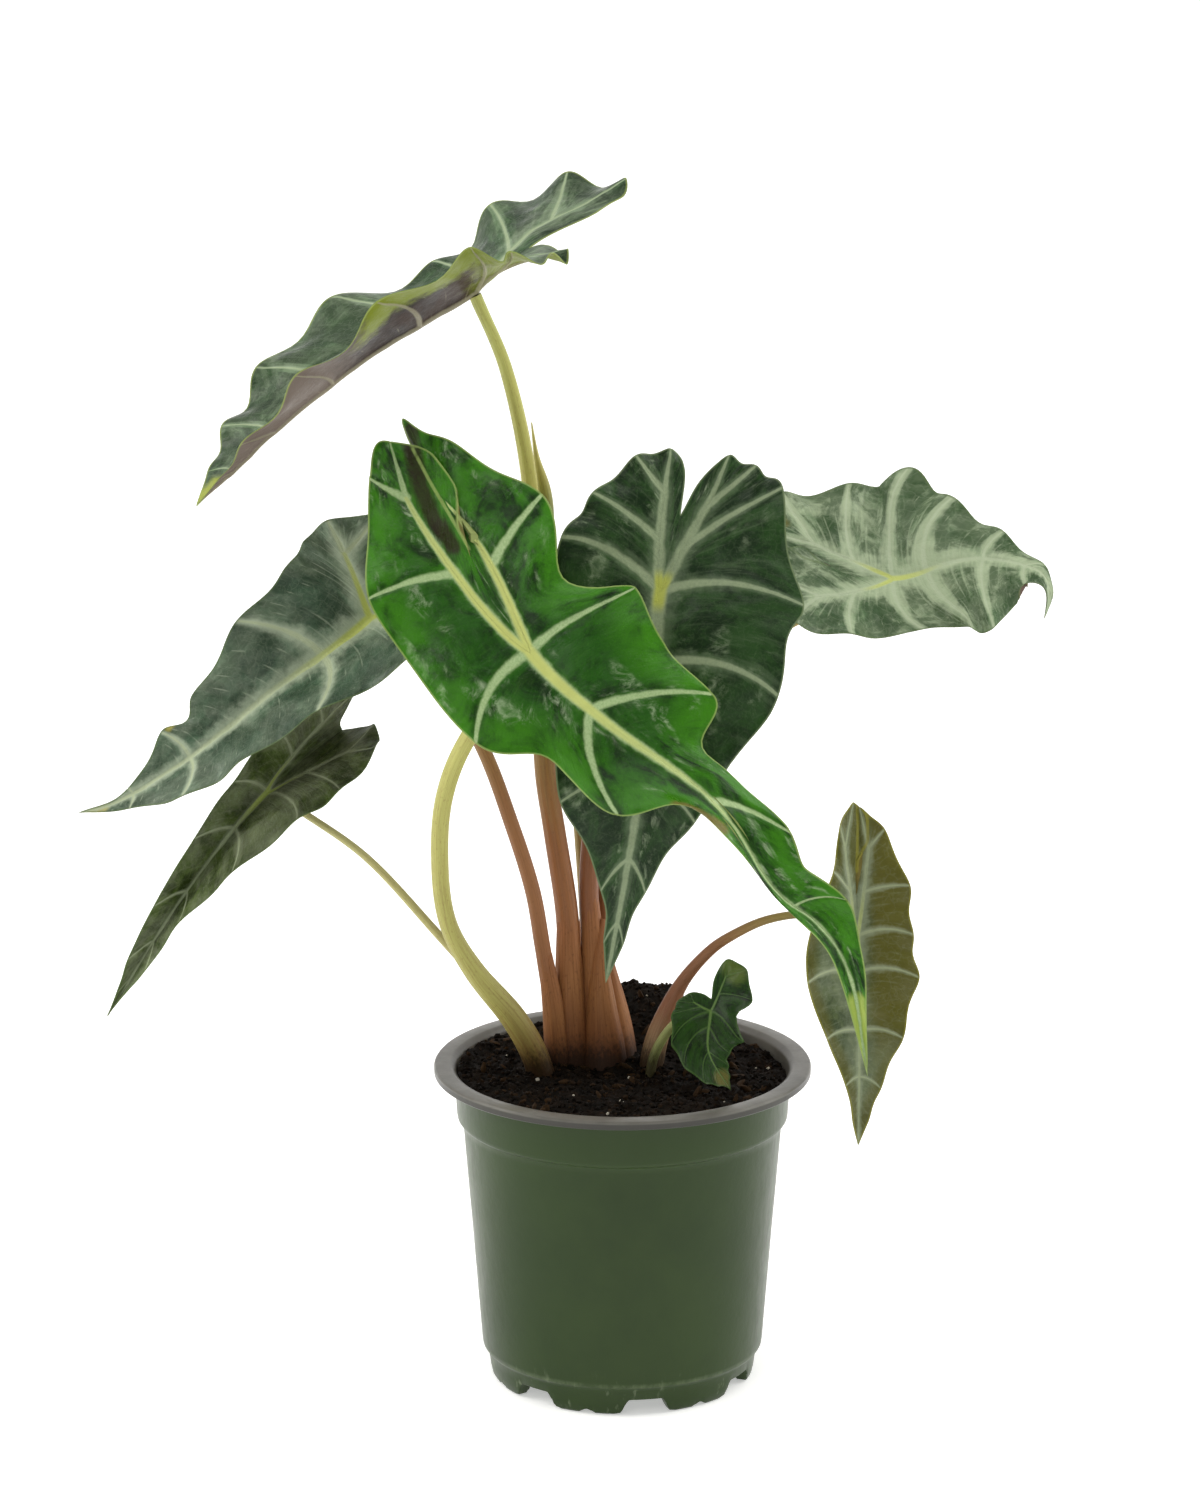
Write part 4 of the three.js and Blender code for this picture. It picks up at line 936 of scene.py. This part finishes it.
def soil_material():
    """Dark grain, with browner and paler bits where the tone is higher."""
    m = Skin("potting_mix")
    tone = m.value("tone")
    grain = m.noise(m.place(), 900, 4, 0.65)
    clumps = m.noise(m.place(), 160, 3, 0.6)
    body = m.over(
        0x070401, (m.ramp(clumps, 0.35, 0.7), 0x150c04), (m.ramp(grain, 0.55, 0.75, 0.5), 0x2c1d10),
        (m.ramp(tone, 0.3, 0.5), m.mix(grain, 0x1c1208, 0x3f2c18)), (m.ramp(tone, 0.8, 0.9), 0xb9b3a4))
    others = {"Specular IOR Level": 0.12, "Normal": m.bump(grain, 0.8, 0.0006)}
    return m.finish(body, m.ramp(grain, 0.3, 0.7, 0.98, 0.75), others)


def ring(radius, angle, z):
    """Points round the pot's axis, at one height or one for each angle."""
    return np.column_stack([radius * np.cos(angle), radius * np.sin(angle), np.full(len(angle), z)])


def soil_body():
    """The filled body, with a fine lumpy top."""
    angle = np.linspace(0, 2 * np.pi, MIX_SPOKES, endpoint=False)
    rows = [ring(radius, angle, z) for radius, z in MIX_SIDE]
    for count in range(MIX_RINGS, 0, -1):
        radius = MIX_TOP_RADIUS * count / MIX_RINGS
        rows.append(ring(radius, angle, mix_height(radius * np.cos(angle), radius * np.sin(angle))))
    points, faces = capped(rows, (0, 0, MIX_BOTTOM), (0, 0, mix_height(0.0, 0.0)))
    return points, faces, {"tone": np.zeros(len(points))}


GOLDEN = (1 + 5 ** 0.5) / 2
ICO_POINTS = [np.roll((a, b, 0), turn) for turn in range(3) for b in (GOLDEN, -GOLDEN) for a in (-1, 1)]
ICO_POINTS = unit(np.array(ICO_POINTS))
ICO_FACES = []
for corners in itertools.combinations(range(12), 3):
    a, b, c = ICO_POINTS[list(corners)]
    if min(a @ b, b @ c, c @ a) > 0.4:
        ICO_FACES.append(corners if np.cross(a, b) @ c > 0 else corners[::-1])


def turned(points, rng):
    """The points turned at random about their middle."""
    axis = unit(rng.normal(size=3))
    angle = rng.uniform(0, 2 * np.pi)
    return points @ np.array(Matrix.Rotation(angle, 3, axis)).T


def scatter(rng, count, size, flatness, tone, sunk):
    """Loose bits on the mix: rough little stones, chips or grains."""
    parts = []
    for _ in range(count):
        radius = BITS_RADIUS * math.sqrt(rng.uniform(0, 1))
        angle = rng.uniform(0, 2 * math.pi)
        x = radius * math.cos(angle)
        y = radius * math.sin(angle)
        width = rng.uniform(*size)
        scale = np.array([width, width * rng.uniform(*flatness[0]), width * rng.uniform(*flatness[1])])
        bit = turned(ICO_POINTS * (1 + rng.uniform(-0.3, 0.3, (12, 1))) * scale, rng)
        height = mix_height(x, y) - bit[:, 2].min() * (1 - sunk)
        parts.append((bit + (x, y, height), ICO_FACES, {"tone": np.full(12, rng.uniform(*tone))}))
    return parts


rng = np.random.default_rng(46)
crumbs = scatter(rng, 2600, size=(0.5, 1.6), flatness=((0.6, 1), (0.5, 1)), tone=(0, 0.42), sunk=0.9)
bark = scatter(rng, 90, size=(1.6, 4.2), flatness=((0.3, 0.6), (0.2, 0.4)), tone=(0.45, 0.7), sunk=0.85)
grains = scatter(rng, 30, size=(0.5, 1.1), flatness=((0.8, 1), (0.7, 1)), tone=(0.92, 1), sunk=0.8)
mix = joined([soil_body(), *crumbs, *bark, *grains])
add_piece("potting_mix", mix, soil_material(), ["soil"], sharp=50)


# Pot

FEET = 7
FIRST_NOTCH = math.radians(-80)
NOTCH_HALF_ANGLE = 9.5
NOTCH_SLOPE = 2.6
BUMP_LIFT = 2.2
FLOOR_UNDERSIDE = 7
WALL = 1.2
RIM_RADIUS = 78
POT_OUTSIDE = [
    (70.2, 134.2), (70.8, 134.8), (71.6, 135), (74, 135), (76.7, 135), (77.5, 134.8), (RIM_RADIUS, 134.1),
    (RIM_RADIUS, 132.6), (RIM_RADIUS, 131.7), (77.7, 131.4), (77.1, 131.4), (76.8, 131.7), (76.6, 133.2),
    (76, 133.6), (71.4, 133.6), (70.6, 133.2), (69.8, 131), (69.3, 126), (68.9, 119), (68.6, 114),
    (68.4, 112.8), (67.9, 112.1), (66.8, 111.5), (66.2, 110.8), (65.9, 108), (64.3, 88), (62.3, 64),
    (60.3, 38), (58.5, 15.5), (58.2, 13.6), (57.5, 12.7), (56.6, 12), (56.1, 11), (55.6, 7.5), (55.2, 4.5),
    (54.6, 1.6), (53.9, 0.5), (52.8, 0), (51.2, 0), (50.2, 0.5), (49.4, 1.8), (48.4, FLOOR_UNDERSIDE),
]
POT_INSIDE = [
    (47.6, 8.2), (49.8, 8), (50.8, 2.6), (51.6, 1.5), (52.8, 1.5), (53.4, 2.6), (54.2, 8.2), (55.2, 13),
    (57.1, 14.2), (58.6, 34), (61.2, 66), (63.4, 92), (65, 112), (67.3, 113.4), (68.1, 124), (68.6, 132.2),
    (69.4, 133.6),
]
LIP_POINTS = 11
LIP_WIDTH = 1.4
POT_STEPS = 56


def pot_lift(step):
    """How far the foot is lifted at an angle in degrees from the last notch's middle."""
    from_notch = np.minimum(step, 360 / FEET - step)
    notch = 1 - smoothstep(from_notch, NOTCH_HALF_ANGLE - NOTCH_SLOPE, NOTCH_HALF_ANGLE + NOTCH_SLOPE)
    from_middle = np.abs(step - 180 / FEET)
    bump = BUMP_LIFT * (1 - smoothstep(from_middle, 0, 5))
    corner = 0.9 * smoothstep(from_middle, 9, 15)
    return np.maximum(FLOOR_UNDERSIDE * notch, bump + corner)


def pot_material():
    """Green plastic with scuffs near the foot, a worn seam, the grey of its inside and lip, and painted shade
    on the lip's outer band.
    """
    m = Skin("nursery_pot")
    spot = m.place()
    level = m.value("level")
    scuffs = m.noise(spot, 260, 3, 0.7, 0, (1, 1, 0.35))
    worn = m.times(m.ramp(scuffs, 0.58, 0.75), m.ramp(level, 22, 6, 0.5))
    seam = m.times(m.ramp(level, 15.5, 13.8), m.ramp(level, 12, 13.4))
    seam = m.times(seam, m.ramp(scuffs, 0.4, 0.6, 0.25, 0.05))
    # Painted shade: the lip's outer band, below its top, is darker where light falls less
    shade = m.times(m.value("outer"), m.ramp(level, 134.2, 133.4))
    lip = m.over(0x56544e, (m.ramp(m.noise(spot, 60), 0.35, 0.65), 0x62605a), (shade, 0x3d3c38))
    body = m.over(
        0x1f320a, (m.ramp(m.noise(spot, 18, 4, 0.6), 0.3, 0.7), 0x26390f),
        (m.ramp(level, 110, 114), 0x24370e), (worn, 0x7f8a6e), (seam, 0x6c7a58),
        (m.ramp(m.value("grey"), 0.4, 0.6), lip))
    others = {"Specular IOR Level": 0.25, "Normal": m.bump(m.noise(spot, 420, 2), 0.12, 0.0004)}
    return m.finish(body, m.ramp(scuffs, 0.3, 0.8, 0.4, 0.3), others)


def pot():
    """The shell: its profile turned about the axis, with the foot lifted at notches and bumps."""
    steps = np.linspace(0, 360 / FEET, POT_STEPS, endpoint=False)
    angle = np.concatenate([FIRST_NOTCH + np.radians(foot * 360 / FEET + steps) for foot in range(FEET)])
    lift = np.tile(pot_lift(steps), FEET)
    rows = []
    grey = []
    for k, (radius, z) in enumerate(POT_OUTSIDE[::-1] + POT_INSIDE[::-1]):
        lowest = lift + (WALL if k >= len(POT_OUTSIDE) else 0)
        lifted = np.maximum(z, np.minimum(lowest, z + lowest))
        rows.append(ring(radius, angle, lifted if k > 0 else z))
        grey.append(k >= len(POT_OUTSIDE) - LIP_POINTS)
    points, faces = capped(rows, (0, 0, FLOOR_UNDERSIDE), (0, 0, FLOOR_UNDERSIDE + WALL))
    outer = np.hypot(points[:, 0], points[:, 1]) > RIM_RADIUS - LIP_WIDTH
    grey = np.append(np.repeat(grey, len(angle)), [0, 1])
    return points, faces, {"grey": grey, "level": points[:, 2], "outer": outer}


add_piece("nursery_pot", pot(), pot_material(), ["pot"], sharp=35)


# Stage, lights and camera: the camera's place is in millimetres, the rest in metres

FLOOR_TINTS = [(0.9, 0.9, 0.9, 1), (0.8865, 0.8865, 0.8865, 1)]
FLOOR_GLOW = 0.42
STAGE_HALF_WIDTH = 6
STAGE_FRONT = -4
BEND_START = 2.2
BEND_RADIUS = 1.2
BEND_STEPS = 16
STAGE_TOP = 6
LIGHT_AIM = (0, 0, 0.25)
LIGHT_COLOUR = (1, 0.985, 0.94)
LIGHTS = {  # the place, the size and the power in watts
    "left_softbox": ((-1.7, 0.1, 1), (0.9, 2.2), 30),
    "right_softbox": ((1.7, 0.2, 1), (0.9, 2.2), 26),
    "top_softbox": ((0, -0.2, 2.3), (1.8, 1.4), 19),
    "front_softbox": ((-0.9, -2.4, 1.8), (1, 1), 10),
}
WORLD_STRENGTH = 0.4
CAMERA_PLACE = (-9.3, -2400, 919.4)
CAMERA_TILT = 15.17
SENSOR = 36
FOCAL_LENGTH = 146.23


def stage():
    """A pale floor that curves up into a backdrop."""
    profile = [(STAGE_FRONT, 0), (BEND_START, 0)]
    for i in range(1, BEND_STEPS + 1):
        turn = math.radians(90 * i / BEND_STEPS)
        profile.append((BEND_START + BEND_RADIUS * math.sin(turn), BEND_RADIUS * (1 - math.cos(turn))))
    profile.append((BEND_START + BEND_RADIUS, STAGE_TOP))
    points = [(x, y, z) for y, z in profile for x in (-STAGE_HALF_WIDTH, STAGE_HALF_WIDTH)]
    faces = [(2 * i, 2 * i + 1, 2 * i + 3, 2 * i + 2) for i in range(len(profile) - 1)]
    mesh = bpy.data.meshes.new("floor")
    mesh.from_pydata(points, [], faces)
    mesh.shade_smooth()
    m = Skin("pale_floor")
    tint = m.mix(m.noise(m.place(), 3), *FLOOR_TINTS)
    glow = {"Emission Color": 0xffffff, "Emission Strength": FLOOR_GLOW}
    mesh.materials.append(m.finish(tint, 0.9, glow))
    add_object("floor", mesh)


stage()
for light_name, (spot, size, power) in LIGHTS.items():
    data = bpy.data.lights.new(light_name, "AREA")
    data.shape = "RECTANGLE"
    data.size, data.size_y = size
    data.energy = power
    data.color = LIGHT_COLOUR
    light = add_object(light_name, data)
    light.location = spot
    light.rotation_euler = (Vector(LIGHT_AIM) - Vector(spot)).to_track_quat("-Z", "Y").to_euler()

scene = bpy.context.scene
world = bpy.data.worlds.new("studio")
world.use_nodes = True
background = world.node_tree.nodes["Background"].inputs
background["Color"].default_value = (1, 1, 1, 1)
background["Strength"].default_value = WORLD_STRENGTH
scene.world = world
scene.view_settings.view_transform = "Standard"

camera_data = bpy.data.cameras.new("camera")
camera_data.sensor_fit = "VERTICAL"
camera_data.sensor_height = SENSOR
camera_data.lens = FOCAL_LENGTH
camera_data.clip_end = 30
camera = add_object("camera", camera_data)
camera.location = place(CAMERA_PLACE)
camera.rotation_euler = (math.radians(90 - CAMERA_TILT), 0, 0)
scene.camera = camera
